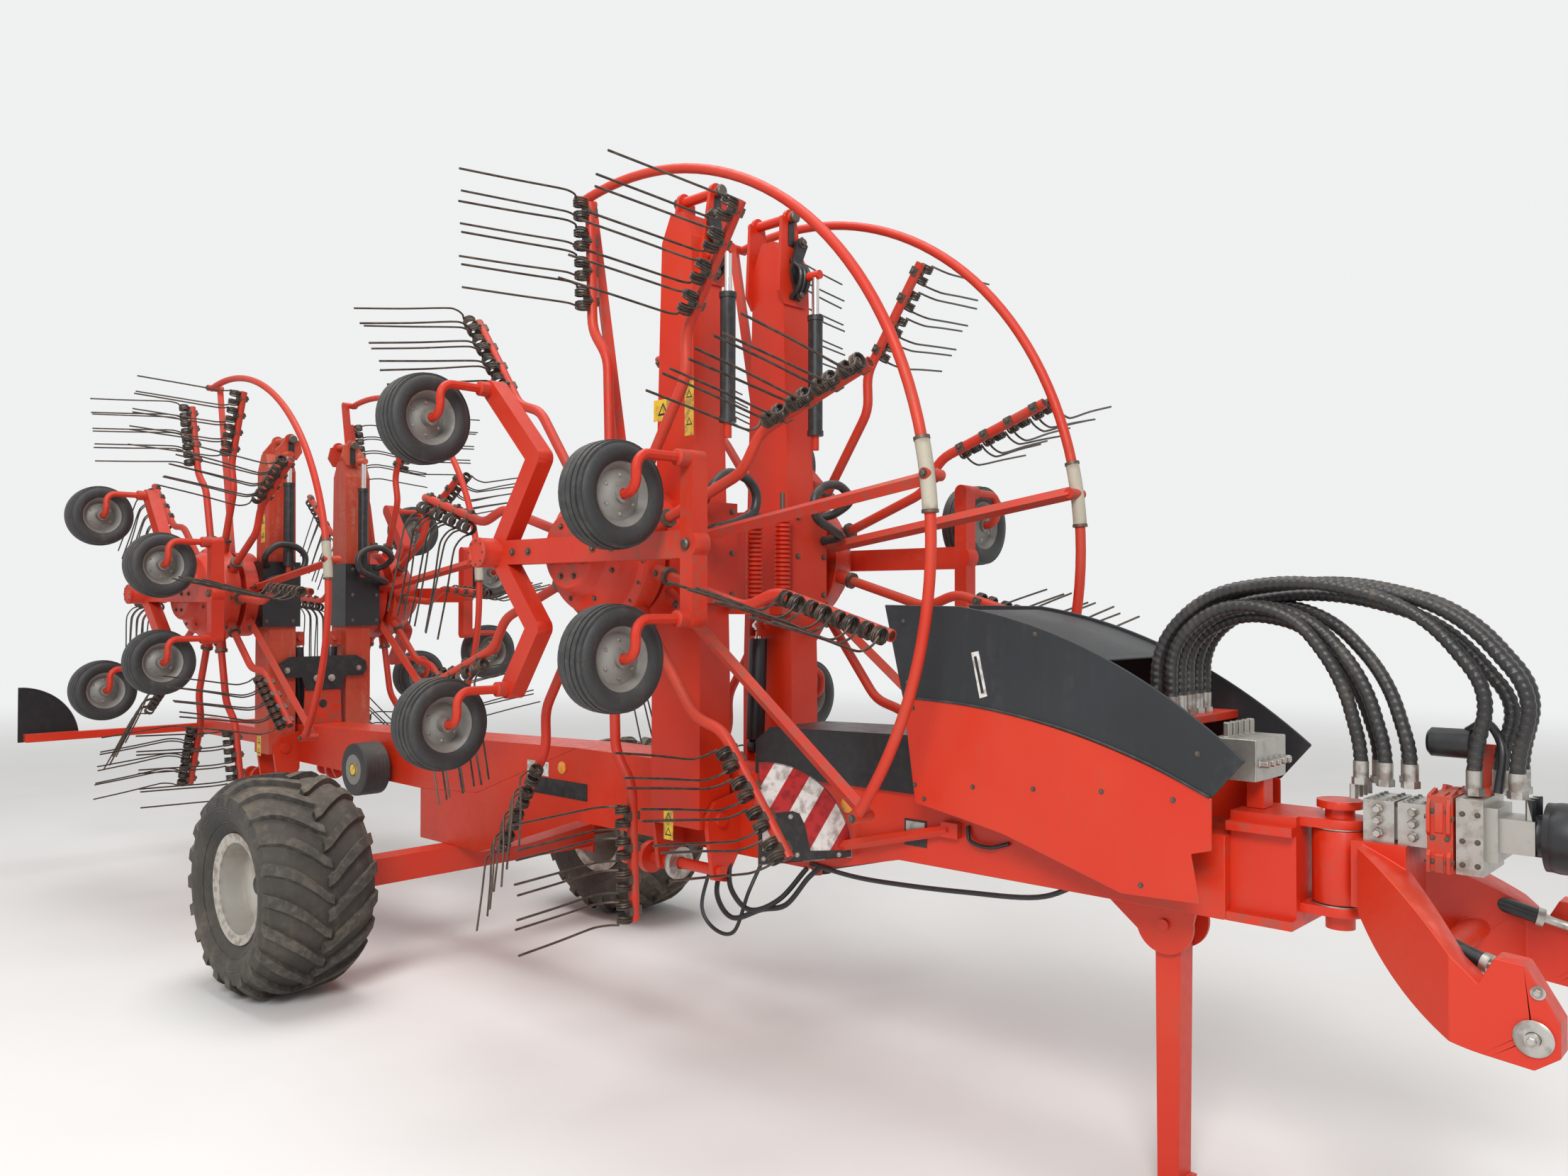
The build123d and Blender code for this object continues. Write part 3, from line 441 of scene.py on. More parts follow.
class Draft:
    """Collects the vertices and faces of one piece."""

    sharp = math.radians(38.0)

    def __init__(self) -> None:
        """Starts with nothing in it."""
        self.points: list[np.ndarray] = []
        self.faces: list[tuple[int, ...]] = []
        self.paints: list[int] = []
        self.count = 0

    def add(self, points: np.ndarray, faces: list[tuple[int, ...]], paints: list[int]) -> None:
        """Adds a block of vertices with its faces.

        Args:
            points: n rows of x, y and z.
            faces: vertex numbers within the block.
            paints: the number of each face's finish.
        """
        self.points.append(points)
        self.faces.extend(tuple(i + self.count for i in face) for face in faces)
        self.paints.extend(paints)
        self.count += len(points)

    def join(self, other: "Draft", move: Matrix | None = None, flip: bool = False) -> None:
        """Adds a copy of another draft.

        Args:
            other: the draft to copy.
            move: where the copy goes.
            flip: turns the faces round, for a mirror image.
        """
        points = np.vstack(other.points)
        if move is not None:
            matrix = np.array(move)
            points = points @ matrix[:3, :3].T + matrix[:3, 3]
        self.add(points, [face[::-1] for face in other.faces] if flip else other.faces, other.paints)

    def on_side(self, side: str, move: Matrix | None = None) -> "Draft":
        """A copy at the machine's right side, or its mirror image at the left.

        Args:
            side: the machine's side.
            move: where the copy goes at the right side.

        Returns:
            The copy.
        """
        made = Draft()
        made.join(self, move)
        if side == "right":
            return made
        mirrored = Draft()
        mirrored.join(made, MIRROR, flip=True)
        return mirrored

    def on_both_sides(self, move: Matrix | None = None) -> "Draft":
        """The copies at both sides, as one draft.

        Args:
            move: where the copy goes at the right side.

        Returns:
            The new draft.
        """
        made = Draft()
        for side in SIDES:
            made.join(self.on_side(side, move))
        return made

    def rings(self, rings: list[np.ndarray], paint: int = 0, closed: bool = False) -> None:
        """Joins rings of equally many points into a skin, capped where it is open.

        Args:
            rings: arrays of ring points, in order.
            paint: the number of the piece's finish.
            closed: joins the last ring to the first.
        """
        sides, last = len(rings[0]), (len(rings) - 1) * len(rings[0])
        faces: list[tuple[int, ...]] = []
        for row in range(len(rings) if closed else len(rings) - 1):
            a, b = row * sides, (row + 1) % len(rings) * sides
            for i in range(sides):
                j = (i + 1) % sides
                faces.append((a + i, a + j, b + j, b + i))
        if not closed:
            faces += [tuple(range(sides))[::-1], tuple(last + i for i in range(sides))]
        self.add(np.vstack(rings), faces, [paint] * len(faces))

    def tube(self, path: Sequence, radius: float, sides: int, paint: int = 0, closed: bool = False) -> None:
        """A round bar or pipe along a path.

        Args:
            path: the points of its middle line.
            radius: its radius.
            sides: how many sides the round has.
            paint: the number of the piece's finish.
            closed: joins the end to the start.
        """
        line = np.asarray([tuple(p) for p in path], float)
        ahead = np.roll(line, -1, 0) - line
        behind = line - np.roll(line, 1, 0)
        if not closed:
            ahead[-1], behind[0] = behind[-1], ahead[0]
        heading = sum(way / np.linalg.norm(way, axis=1)[:, None] for way in (ahead, behind))
        heading /= np.linalg.norm(heading, axis=1)[:, None]
        side = np.cross(heading[0], (0.31, 0.22, 0.93))
        if np.linalg.norm(side) < 0.2:
            side = np.cross(heading[0], (1.0, 0.1, 0.0))
        self.rings([place + radius * spokes for place, spokes in sweep(line, heading, side, circle(sides))],
                   paint, closed)

    def lathe(self, profile: Sequence[Pair], centre: Point, axis: Axis | Point,
              steps: int = 48, paint: int = 0) -> None:
        """A round form turned from a profile.

        Args:
            profile: radius and place along the axis, in order; a loop where it ends as it starts.
            centre: the point on the axis that the places are measured from.
            axis: the direction of the axis.
            steps: how many steps the round has.
            paint: the number of the piece's finish.
        """
        way = Vector(axis.value if isinstance(axis, Axis) else axis).normalized()
        side = way.orthogonal().normalized()
        up = way.cross(side)
        turn = circle(steps)
        spoke = np.cos(turn)[:, None] * np.array(side) + np.sin(turn)[:, None] * np.array(up)
        loop = profile[0] == profile[-1]
        rows = [np.array(centre) + np.array(way) * a + spoke * max(r, 1e-5) for r, a in profile]
        self.rings(rows[:-1] if loop else rows, paint, closed=loop)

    def tyre(self, tread: Sequence[Pair], wall: Sequence[Pair], centre: Point, axis: Axis,
             steps: int) -> None:
        """A tyre's carcass, from its tread's profile and one wall's, which both sides share."""
        inner = [(r, -p) for r, p in wall[::-1]]
        self.lathe([*inner, *tread, *wall, inner[0]], centre, axis, steps)

    def prism(self, outline: Sequence[Pair], low: float, high: float,
              axis: Axis = Axis.ACROSS, paint: int = 0) -> None:
        """A flat outline with a thickness.

        Args:
            outline: its corners: x and z across the machine, y and z along it.
            low: where it starts along the axis.
            high: where it ends.
            axis: the direction of its thickness.
            paint: the number of the piece's finish.
        """
        ends = []
        for level in (low, high):
            rows = [(level, a, b) if axis is Axis.ALONG else (a, level, b) for a, b in outline]
            ends.append(np.array(rows, float))
        self.rings(ends, paint)

    def box(self, low: Point, high: Point, paint: int = 0) -> None:
        """A block between two corners."""
        (x0, y0, z0), (x1, y1, z1) = low, high
        self.prism([(x0, z0), (x1, z0), (x1, z1), (x0, z1)], y0, y1, paint=paint)

    def knob(self, at: Point, axis: Axis | Point, foot: Pair, head: Pair,
             steps: int, paint: int) -> None:
        """A round boss that narrows to its top; foot and head are each a radius and its height."""
        self.lathe([(0, 0), (foot[0], 0), foot, head, (0, head[1])], at, axis, steps, paint)

    def bolt(self, at: Point, axis: Axis | Point, size: float, paint: int) -> None:
        """A hexagon head on a washer.

        Args:
            at: the middle of its seat.
            axis: the way that the head stands up.
            size: the head's radius.
            paint: the number of the piece's finish.
        """
        wide, thick = size * 1.5, size * 0.25
        self.lathe([(0, 0), (wide, 0), (wide, thick), (0, thick)], at, axis, 16, paint)
        self.knob(at, axis, (size, size * 0.95), (size * 0.8, size * 1.1), 6, paint)

    def build(self, name: str, body: str, finishes: list[Finish], slot: Slot,
              replaces: tuple[str, ...] = ()) -> bpy.types.Object:
        """Makes the piece and hangs it on its body, if one is named.

        Args:
            name: the piece's name.
            body: the body that it moves with, or nothing, which leaves it unattached.
            finishes: its finishes, in the order of its paint numbers.
            slot: not used.
            replaces: the frame nodes that it stands for.

        Returns:
            The new object.
        """
        mesh = bpy.data.meshes.new(name)
        mesh.from_pydata(np.vstack(self.points).tolist(), [], self.faces)
        for finish in finishes:
            mesh.materials.append(finish.material())
        mesh.polygons.foreach_set("material_index", self.paints)
        mesh.validate()
        settle_normals(mesh)
        piece = placed(name, mesh)
        mesh.shade_smooth()
        mesh.set_sharp_from_angle(angle=self.sharp)
        if body:
            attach(piece, body)
        if replaces:
            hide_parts(*replaces)
        log.info("%s: %d faces on %s", name, len(mesh.polygons), body or "two bodies")
        return piece


def circle(steps: int) -> np.ndarray:
    """The turns of evenly spaced steps round a circle."""
    return np.linspace(0, 2 * math.pi, steps, endpoint=False)


def sweep(line: np.ndarray, heading: np.ndarray, side: np.ndarray,
          turn: np.ndarray) -> Iterator[tuple[np.ndarray, np.ndarray]]:
    """Carries a round along a line without twisting it.

    Args:
        line: the line's points.
        heading: the unit direction at each point.
        side: where the round's first step points at the start.
        turn: the turns of the round's steps.

    Yields:
        Each point with the unit spokes of its round.
    """
    for place, way in zip(line, heading):
        side = side - way * (side @ way)
        side /= np.linalg.norm(side)
        up = np.cross(way, side)
        yield place, np.cos(turn)[:, None] * side + np.sin(turn)[:, None] * up


def settle_normals(mesh: bpy.types.Mesh) -> None:
    """Turns all faces outwards.

    Args:
        mesh: the mesh, changed in place.
    """
    work = bmesh.new()
    work.from_mesh(mesh)
    bmesh.ops.recalc_face_normals(work, faces=work.faces)
    work.to_mesh(mesh)
    work.free()


def curve_through(points: Sequence[Point], steps: int) -> list[np.ndarray]:
    """A smooth line through the given points.

    Args:
        points: the points that it passes.
        steps: how many steps each stretch has.

    Returns:
        The points along the line.
    """
    p = [np.array(q, float) for q in points]
    p = [2 * p[0] - p[1], *p, 2 * p[-1] - p[-2]]
    line = []
    for a, b, c, d in zip(p, p[1:], p[2:], p[3:]):
        for t in np.linspace(0, 1, steps, endpoint=False):
            line.append(0.5 * (2 * b + (c - a) * t + (2 * a - 5 * b + 4 * c - d) * t * t
                               + (3 * b - a - 3 * c + d) * t ** 3))
    return [*line, p[-2]]


def rounded(points: Sequence[Point], radius: float, steps: int) -> list[np.ndarray]:
    """Straight runs with a round bend at each corner.

    Args:
        points: the corners.
        radius: the bend's largest reach from its corner.
        steps: how many steps each bend has.

    Returns:
        The points along the line.
    """
    p = [np.array(q, float) for q in points]
    line = [p[0]]
    for before, corner, after in zip(p, p[1:], p[2:]):
        back, ahead = before - corner, after - corner
        reach = min(radius, 0.48 * np.linalg.norm(back), 0.48 * np.linalg.norm(ahead))
        start, end = (corner + way / np.linalg.norm(way) * reach for way in (back, ahead))
        for t in np.linspace(0, 1, steps):
            line.append((1 - t) ** 2 * start + 2 * t * (1 - t) * corner + t * t * end)
    return [*line, p[-1]]


# Stage


@dataclass
class Studio:
    """Pale floor, soft lamps and the camera."""

    camera_at: Point = (5.574, -4.083, 2.089)
    yaw_deg: float = 42.94
    pitch_deg: float = 0.749
    roll_deg: float = 0.075
    focal_px: float = 1686.0
    photo_wide_px: int = 2212
    sensor_mm: float = 36.0
    floor_reach: float = 160.0
    floor_colour: Colour = (0.80, 0.79, 0.77)
    floor_noise: Pair = (0.8, 3.0)
    floor_span: Pair = (0.3, 0.7)
    floor_shade: float = 0.97
    floor_roughness: float = 0.9
    floor_specular: float = 0.1
    backdrop: Colour = (0.87, 0.875, 0.88)
    sky_strength: float = 0.60
    fade_start: float = 7.5
    fade_end: float = 24.0
    lamps: tuple[tuple[str, Point, float, float], ...] = (
        ("key", (8.0, -9.0, 9.0), 5.0, 1150.0), ("over", (-1.0, 0.0, 13.0), 8.0, 750.0))
    lit: Point = (0.5, 0.0, 1.6)

    def build(self) -> None:
        """Makes the camera, lamps, world and floor."""
        self.place_camera()
        self.light()
        self.floor()

    def place_camera(self) -> None:
        """Sets the camera where the photograph was taken from."""
        yaw, pitch, roll = (math.radians(a) for a in (self.yaw_deg, self.pitch_deg, self.roll_deg))
        ahead = Vector((-math.sin(yaw) * math.cos(pitch), math.cos(yaw) * math.cos(pitch), math.sin(pitch)))
        right = Vector((math.cos(yaw), math.sin(yaw), 0.0))
        up = right.cross(ahead)
        level, tilt = math.cos(roll), math.sin(roll)
        right, up = right * level + up * tilt, up * level - right * tilt
        data = bpy.data.cameras.new("camera")
        data.sensor_width = self.sensor_mm
        data.sensor_fit = "HORIZONTAL"
        data.lens = self.sensor_mm * self.focal_px / self.photo_wide_px
        data.clip_end = self.floor_reach * 3
        camera = placed("camera", data)
        turn = Matrix((right, up, -ahead)).transposed().to_4x4()
        camera.matrix_world = Matrix.Translation(self.camera_at) @ turn
        bpy.context.scene.camera = camera

    def light(self) -> None:
        """A soft overcast sky with one broad lamp above and one from the side."""
        world = bpy.data.worlds.new("studio")
        world.use_nodes = True
        bpy.context.scene.world = world
        tree = Tree(world.node_tree)
        back = world.node_tree.nodes["Background"]
        tree.feed(back.inputs["Color"], self.backdrop)
        ray = tree.node("ShaderNodeLightPath")
        seen = tree.math("MAXIMUM", ray.outputs["Is Camera Ray"], ray.outputs["Is Glossy Ray"])
        seen = tree.math("MAXIMUM", seen, ray.outputs["Is Transmission Ray"])
        tree.join(tree.add_times(seen, 1.0 - self.sky_strength, self.sky_strength), back.inputs["Strength"])
        for name, at, size, power in self.lamps:
            data = bpy.data.lights.new(name, "AREA")
            data.shape = "DISK"
            data.size = size
            data.energy = power
            lamp = placed(name, data)
            lamp.location = at
            lamp.rotation_euler = (Vector(self.lit) - Vector(at)).to_track_quat("-Z", "Y").to_euler()

    def floor(self) -> None:
        """A wide pale floor that the machine stands on, fading out far away."""
        reach = self.floor_reach
        mesh = bpy.data.meshes.new("floor")
        corners = [(x * reach, y * reach, 0) for x, y in ((-1, -1), (1, -1), (1, 1), (-1, 1))]
        mesh.from_pydata(corners, [], [(0, 1, 2, 3)])
        made = bpy.data.materials.new("pale_floor")
        made.use_nodes = True
        tree = Tree(made.node_tree)
        shader = made.node_tree.nodes["Principled BSDF"]
        where, pale = tree.place(), self.floor_colour
        tone = tree.span(tree.noise(where, *self.floor_noise), *self.floor_span)
        away = tree.node("ShaderNodeVectorMath", operation="LENGTH")
        tree.join(where, away.inputs[0])
        for label, value in (
            ("Roughness", self.floor_roughness), ("Specular IOR Level", self.floor_specular),
            ("Base Color", tree.blend(tone, pale, tuple(c * self.floor_shade for c in pale))),
            ("Alpha", tree.span(away.outputs["Value"], self.fade_end, self.fade_start)),
        ):
            tree.feed(shader.inputs[label], value)
        mesh.materials.append(made)
        placed("floor", mesh)


# Wheels


def spaced(count: int, radius: float, start: float = 0.0) -> list[Pair]:
    """Places spaced evenly round a circle, as offsets from its middle; start is in steps."""
    turns = [2 * math.pi * (number + start) / count for number in range(count)]
    return [(radius * math.cos(turn), radius * math.sin(turn)) for turn in turns]


@dataclass
class TransportWheel:
    """One wide road wheel: lugged tyre, silver rim and hub."""

    side: str
    centre: Point = (-0.825, -1.19, 0.585)
    radius: float = 0.585
    half: float = 0.30
    flat_half: float = 0.19
    crown_drop: float = 0.012
    shoulder: Pair = (0.9, 1.25)
    lug_height: float = 0.032
    lug_width: float = 0.066
    lug_lean: float = math.tan(math.radians(38.0))
    lug_bow: float = 0.10
    lug_grow: Pair = (0.36, 0.16)
    lug_flare: float = 1.25
    lug_reach: float = 0.985
    lug_root: float = 0.02
    lug_overlap: float = 0.012
    lugs_per_side: int = 20
    bead_t: float = 0.0035
    beads: Outline = ((0.415, 0.2970), (0.43, 0.2965), (0.352, 0.275))
    wall: Outline = ((0.485, 0.283), (0.44, 0.297), (0.40, 0.297), (0.37, 0.288), (0.352, 0.272),
                     (0.34, 0.268), (0.325, 0.256), (0.300, 0.240), (0.292, 0.232))
    barrel: Outline = ((0.24, -0.232), (0.291, -0.245), (0.291, -0.232), (0.262, -0.20), (0.250, -0.12),
                       (0.262, 0.17), (0.291, 0.232), (0.291, 0.245), (0.24, 0.232), (0.236, 0.1),
                       (0.228, -0.06), (0.24, -0.20), (0.24, -0.232))
    disc: Outline = ((0.04, -0.045), (0.135, -0.045), (0.150, -0.052), (0.175, -0.085), (0.20, -0.10),
                     (0.232, -0.10), (0.245, -0.088), (0.245, -0.076), (0.205, -0.086), (0.18, -0.07),
                     (0.15, -0.035), (0.04, -0.03), (0.04, -0.045))
    hub: Outline = ((0.0, -0.135), (0.046, -0.132), (0.062, -0.118), (0.066, -0.07), (0.095, -0.062),
                    (0.10, -0.045), (0.0, -0.045))
    bolts: int = 10
    bolt_circle: float = 0.115
    bolt_r: float = 0.013
    disc_face: float = 0.045

    def build(self) -> None:
        """Makes the tyre and the rim."""
        for draft, name, finishes, slot in ((self.tyre(), "tyre", [TYRE], Slot.TYRE),
                                            (self.rim(), "rim", [RIM, BLACK, STEEL], Slot.RIM)):
            draft.on_side(self.side).build(f"{name}_look_{self.side}", f"wheel_{self.side}", finishes, slot,
                                           (f"{name}_{self.side}",))

    def crown(self, place: float) -> float:
        """Outer radius of the tread at a place across it.

        Args:
            place: how far it is from the tyre's middle.

        Returns:
            The radius.
        """
        edge = max(abs(place) - self.flat_half, 0.0)
        share, power = self.shoulder
        return self.radius - self.crown_drop * (place / self.flat_half) ** 2 - share * edge ** power

    def tyre(self) -> Draft:
        """Carcass with bulging walls and two rows of curved lugs.

        Returns:
            Its draft.
        """
        draft = Draft()
        places = np.linspace(-self.half * 0.87, self.half * 0.87, 19)
        tread = [(self.crown(p) - self.lug_height, p) for p in places]
        draft.tyre(tread, self.wall, self.centre, Axis.ACROSS, 96)
        for ring_radius, place in self.beads:
            for way in (-1, 1):
                self.bead(draft, ring_radius, way * place)
        for way in (-1, 1):
            for number in range(self.lugs_per_side):
                self.lug(draft, way, 2 * math.pi / self.lugs_per_side * (number + way / 4))
        return draft

    def bead(self, draft: Draft, radius: float, place: float) -> None:
        """A thin moulded ring on the tyre's wall.

        Args:
            draft: where it is drawn.
            radius: the ring's radius.
            place: how far it is from the tyre's middle.
        """
        thick = self.bead_t
        draft.lathe([(radius - thick, place), (radius, place + thick * 0.7), (radius + thick, place),
                     (radius, place - thick * 0.7), (radius - thick, place)], self.centre, Axis.ACROSS, 96)

    def lug(self, draft: Draft, way: int, start: float) -> None:
        """One lug, curved from the tread's middle over its shoulder.

        Args:
            draft: where it is drawn.
            way: the half of the tread, 1 or -1.
            start: its turn round the wheel, in radians.
        """
        rings = []
        middle = self.half / 2 + 0.008
        for share in np.linspace(0.0, 1.0, 9):
            place = way * (-self.lug_overlap + share * (self.half * self.lug_reach + self.lug_overlap))
            travel = (abs(place) - middle) * self.lug_lean - self.lug_bow * (share - 0.5) ** 2
            angle = start + travel / self.radius
            top = self.crown(place) if abs(place) < self.half * 0.9 else self.crown(place) - 0.004
            base = top - self.lug_height - self.lug_root
            wide = self.lug_width * (self.lug_grow[0] + self.lug_grow[1] * share)
            foot = wide * self.lug_flare
            ring = []
            for offset, level in ((-foot, base), (-wide, top), (wide, top), (foot, base)):
                turn = angle + offset / self.radius
                ring.append((self.centre[0] - level * math.sin(turn), self.centre[1] + place,
                             self.centre[2] + level * math.cos(turn)))
            rings.append(np.array(ring))
        draft.rings(rings)

    def rim(self) -> Draft:
        """Dished disc with a drop-centre barrel, wheel bolts and a hub cap.

        Returns:
            Its draft.
        """
        draft = Draft()
        for profile, steps, paint in ((self.barrel, 72, 0), (self.disc, 72, 0), (self.hub, 40, 1)):
            draft.lathe(profile, self.centre, Axis.ACROSS, steps, paint)
        x, y, z = self.centre
        for along, up in spaced(self.bolts, self.bolt_circle):
            draft.bolt((x + along, y - self.disc_face, z + up), Axis.OUT, self.bolt_r, 2)
        return draft


@dataclass
class SmallWheel:
    """A ground wheel under a rotor, with a ribbed tyre on a pressed rim."""

    rotor: str
    letter: str
    side: str
    centre: Point
    plates: bool
    radius: float = 0.21
    groove: float = 0.011
    ribs: Outline = ((-0.055, 0.010), (-0.029, 0.011), (0.0, 0.012), (0.029, 0.011), (0.055, 0.010))
    wall: Outline = ((0.185, 0.074), (0.168, 0.0795), (0.150, 0.079), (0.130, 0.070), (0.121, 0.060),
                     (0.117, 0.050))
    rim: Outline = ((0.120, -0.062), (0.126, -0.064), (0.124, -0.05), (0.105, -0.035), (0.10, 0.0),
                    (0.105, 0.035), (0.124, 0.05), (0.126, 0.064), (0.120, 0.062), (0.099, 0.034),
                    (0.092, 0.0), (0.099, -0.034), (0.120, -0.062))
    bore: float = 0.021
    bolt_circle: float = 0.073
    bolts: int = 6
    bolt_r: float = 0.0055
    bolt_sink: float = 0.003
    rib_drop: float = 0.0008
    rib_crown: float = 2.0
    rib_slope: float = 0.0015
    dish_plain: float = 0.018
    dish_plated: float = 0.045

    def build(self) -> None:
        """Makes the wheel in place of its frame node."""
        node = f"{self.rotor}_wheel_{self.letter}_{self.side}"
        name = f"{self.rotor}_small_wheel_{self.letter}_{self.side}"
        self.draft().on_side(self.side).build(name, node, [SMALL_TYRE, GREY_RIM, STEEL], Slot.TYRE, (node,))

    def draft(self) -> Draft:
        """Tyre, rim, hub and the small parts on them.

        Returns:
            Its draft.
        """
        draft = Draft()
        tread = []
        for middle, wide in self.ribs:
            top = self.radius - self.rib_drop - self.rib_crown * middle ** 2
            low = top - self.groove
            tread += [(low, middle - wide - self.rib_slope), (top, middle - wide), (top, middle + wide),
                      (low, middle + wide + self.rib_slope)]
        draft.tyre(tread, self.wall, self.centre, Axis.ALONG, 48)
        draft.lathe(self.rim, self.centre, Axis.ALONG, 40, 1)
        dish = self.dish_plated if self.plates else self.dish_plain
        bore = self.bore
        disc = ((bore, dish + 0.012), (0.05, dish + 0.010), (0.062, dish), (0.085, dish - 0.006),
                (0.104, dish - 0.012), (0.104, dish - 0.016), (bore, dish - 0.016), (bore, dish + 0.012))
        sleeve = ((bore, 0.03), (0.034, 0.03), (0.034, 0.07), (bore, 0.07), (bore, 0.03))
        x, y, z = self.centre
        for way in (-1, 1):
            draft.lathe([(r, way * p) for r, p in disc], self.centre, Axis.ALONG, 36, 1)
            draft.lathe([(r, way * p) for r, p in sleeve], self.centre, Axis.ALONG, 20, 1)
            for across, up in spaced(self.bolts, self.bolt_circle, 0.5):
                seat = (x + way * (dish - self.bolt_sink), y + across, z + up)
                draft.bolt(seat, (way, 0, 0), self.bolt_r, 2)
        return draft


# Rotors


@dataclass(frozen=True)
class RotorPlan:
    """Where a rotor stands and how far it reaches; its hub turns about a line across the machine."""

    name: str
    x: float
    z: float
    tip: float
    hoop: float
    pitch: float
    first: float
    casters: tuple[tuple[str, float, float], ...]
    plates: tuple[str, ...]
    post_x: float
    slide_half: float
    rear_strap: float = -0.43

    def place(self, draft: Draft, side: str) -> Draft:
        """Moves a draft from the hub's own place to the machine's side."""
        return draft.on_side(side, Matrix.Translation((self.x, 0.0, self.z)))


FRONT = RotorPlan("front", 1.275, 2.32, 1.65, 1.735, 0.14, 20.0,
                  (("a", 0.88, 0.33), ("b", 0.88, -0.29), ("c", -0.48, 0.76), ("d", -0.33, -0.62)),
                  ("a", "b"), 1.465, 0.191)
REAR = RotorPlan("rear", -3.155, 2.15, 1.45, 1.535, 0.12, -4.0,
                 (("a", 0.76, 0.33), ("b", 0.76, -0.29), ("c", -0.38, 0.70), ("d", -0.28, -0.52)),
                 (), -2.945, 0.141)
PLANS = (FRONT, REAR)


@dataclass
class Rotor:
    """Stepped bell with ten cranked tine arms, each with four double spring tines."""

    plan: RotorPlan
    side: str
    plane: float = -0.62
    back_face: float = -0.578
    front_face: float = -0.87
    hub: float = 0.33
    bore: float = 0.0605
    arms: int = 10
    tube: float = 0.024
    socket: float = 0.036
    crank: float = 0.11
    crank_gap: float = 0.04
    crank_run: float = 0.15
    bend: float = 0.06
    socket_ends: Pair = (-0.05, 0.086)
    collar_ends: Pair = (0.07, 0.09)
    collar_t: float = 0.018
    sets: int = 4
    clamp: float = 0.046
    clamp_half: float = 0.020
    clamp_low: float = -0.038
    clamp_lip: float = 0.006
    clamp_t: float = 0.018
    knee: float = 0.16
    back: float = 0.05
    ahead: float = 0.06
    length: float = 0.66
    wire: float = 0.0052
    coil: float = 0.030
    coil_turns: float = 3.5
    coil_ends: Pair = (0.012, 0.050)
    twist: tuple[tuple[int, float], ...] = ((4, -75.0), (5, -75.0), (6, -45.0))
    root: float = 0.06
    cap_t: float = 0.004
    cap_share: float = 0.8
    socket_bolt: float = 0.03
    bolt_r: float = 0.010
    clamp_bolt_r: float = 0.008

    def build(self) -> None:
        """Makes the rotor in place of its frame node."""
        metal, springs = Draft(), Draft()
        self.bell(metal)
        turned = dict(self.twist)
        for number in range(self.arms):
            turn = Matrix.Rotation(math.radians(-360.0 / self.arms * number - self.plan.first), 4, "Y")
            metal.join(self.bar(), turn)
            lean = Matrix.Translation((0, self.plane, self.crank)) @ Matrix.Rotation(
                math.radians(turned.get(number, 0.0)), 4, "X")
            metal.join(self.clamps(), turn @ lean)
            springs.join(self.tines(number), turn @ lean)
        end, body = self.plan.name, f"{self.plan.name}_rotor_{self.side}"
        self.plan.place(metal, self.side).build(f"{end}_arms_{self.side}", body, [ARM_RED, BOLT, RED],
                                                Slot.RED, (body,))
        self.plan.place(springs, self.side).build(f"{end}_tines_{self.side}", body, [SPRING], Slot.BLACK)

    def bell(self, draft: Draft) -> None:
        """The stepped dome with its rim bolts.

        Args:
            draft: where it is drawn.
        """
        outer, inner, plane = self.front_face, self.back_face, self.plane
        hub, bore = self.hub, self.bore
        profile = [(bore, inner), (hub - 0.004, inner), (hub, inner - 0.004), (hub, plane - 0.056),
                   (hub - 0.01, plane - 0.07), (0.292, plane - 0.082), (0.285, plane - 0.10),
                   (0.272, outer + 0.108), (0.262, outer + 0.094), (0.20, outer + 0.076),
                   (0.188, outer + 0.062), (0.176, outer + 0.012), (0.164, outer), (bore, outer),
                   (bore, inner)]
        draft.lathe(profile, (0, 0, 0), Axis.ACROSS, 72, 2)
        for count, radius, place, size in ((20, hub - 0.022, plane - 0.068, 0.009),
                                           (8, 0.225, outer + 0.085, 0.009), (8, 0.12, outer, 0.010)):
            for along, up in spaced(count, radius, 0.5):
                draft.bolt((along, place, up), Axis.OUT, size, 1)

    def bar(self) -> Draft:
        """One arm: socket, straight tube, S-shaped crank and the outer tube with its end cap.

        Returns:
            Its draft.
        """
        draft = Draft()
        start = self.plan.tip - self.sets * self.plan.pitch - self.crank_gap
        y, tip = self.plane, self.plan.tip
        line = [(self.hub - self.root, y, 0), (start - self.crank_run, y, 0), (start, y, self.crank),
                (tip, y, self.crank)]
        draft.tube(rounded(line, self.bend, 5), self.tube, 12)
        for ends, radius, paint in ((self.socket_ends, self.socket, 0),
                                    (self.collar_ends, self.tube + self.collar_t, 1)):
            draft.tube([(self.hub + end, y, 0) for end in ends], radius, 14, paint)
        cap = [(tip - self.cap_t, y, self.crank), (tip, y, self.crank)]
        draft.tube(cap, self.tube * self.cap_share, 12, 1)
        draft.bolt((self.hub + self.socket_bolt, y - self.socket, 0), Axis.OUT, self.bolt_r, 1)
        return draft

    def places(self) -> list[float]:
        """How far out each double tine is clamped."""
        return [self.plan.tip - self.clamp - number * self.plan.pitch for number in range(self.sets)]

    def clamps(self) -> Draft:
        """The blocks that hold the double tines, with their bolts.

        Returns:
            Its draft.
        """
        draft = Draft()
        half, thick, high = self.clamp_half, self.clamp_t, self.tube + self.clamp_lip
        for x in self.places():
            draft.box((x - half, self.clamp_low, -thick), (x + half, high, thick), 1)
            draft.bolt((x, high, 0.0), Axis.ACROSS, self.bolt_r, 1)
            draft.bolt((x, -half, -thick), (0, 0, -1), self.clamp_bolt_r, 1)
        return draft

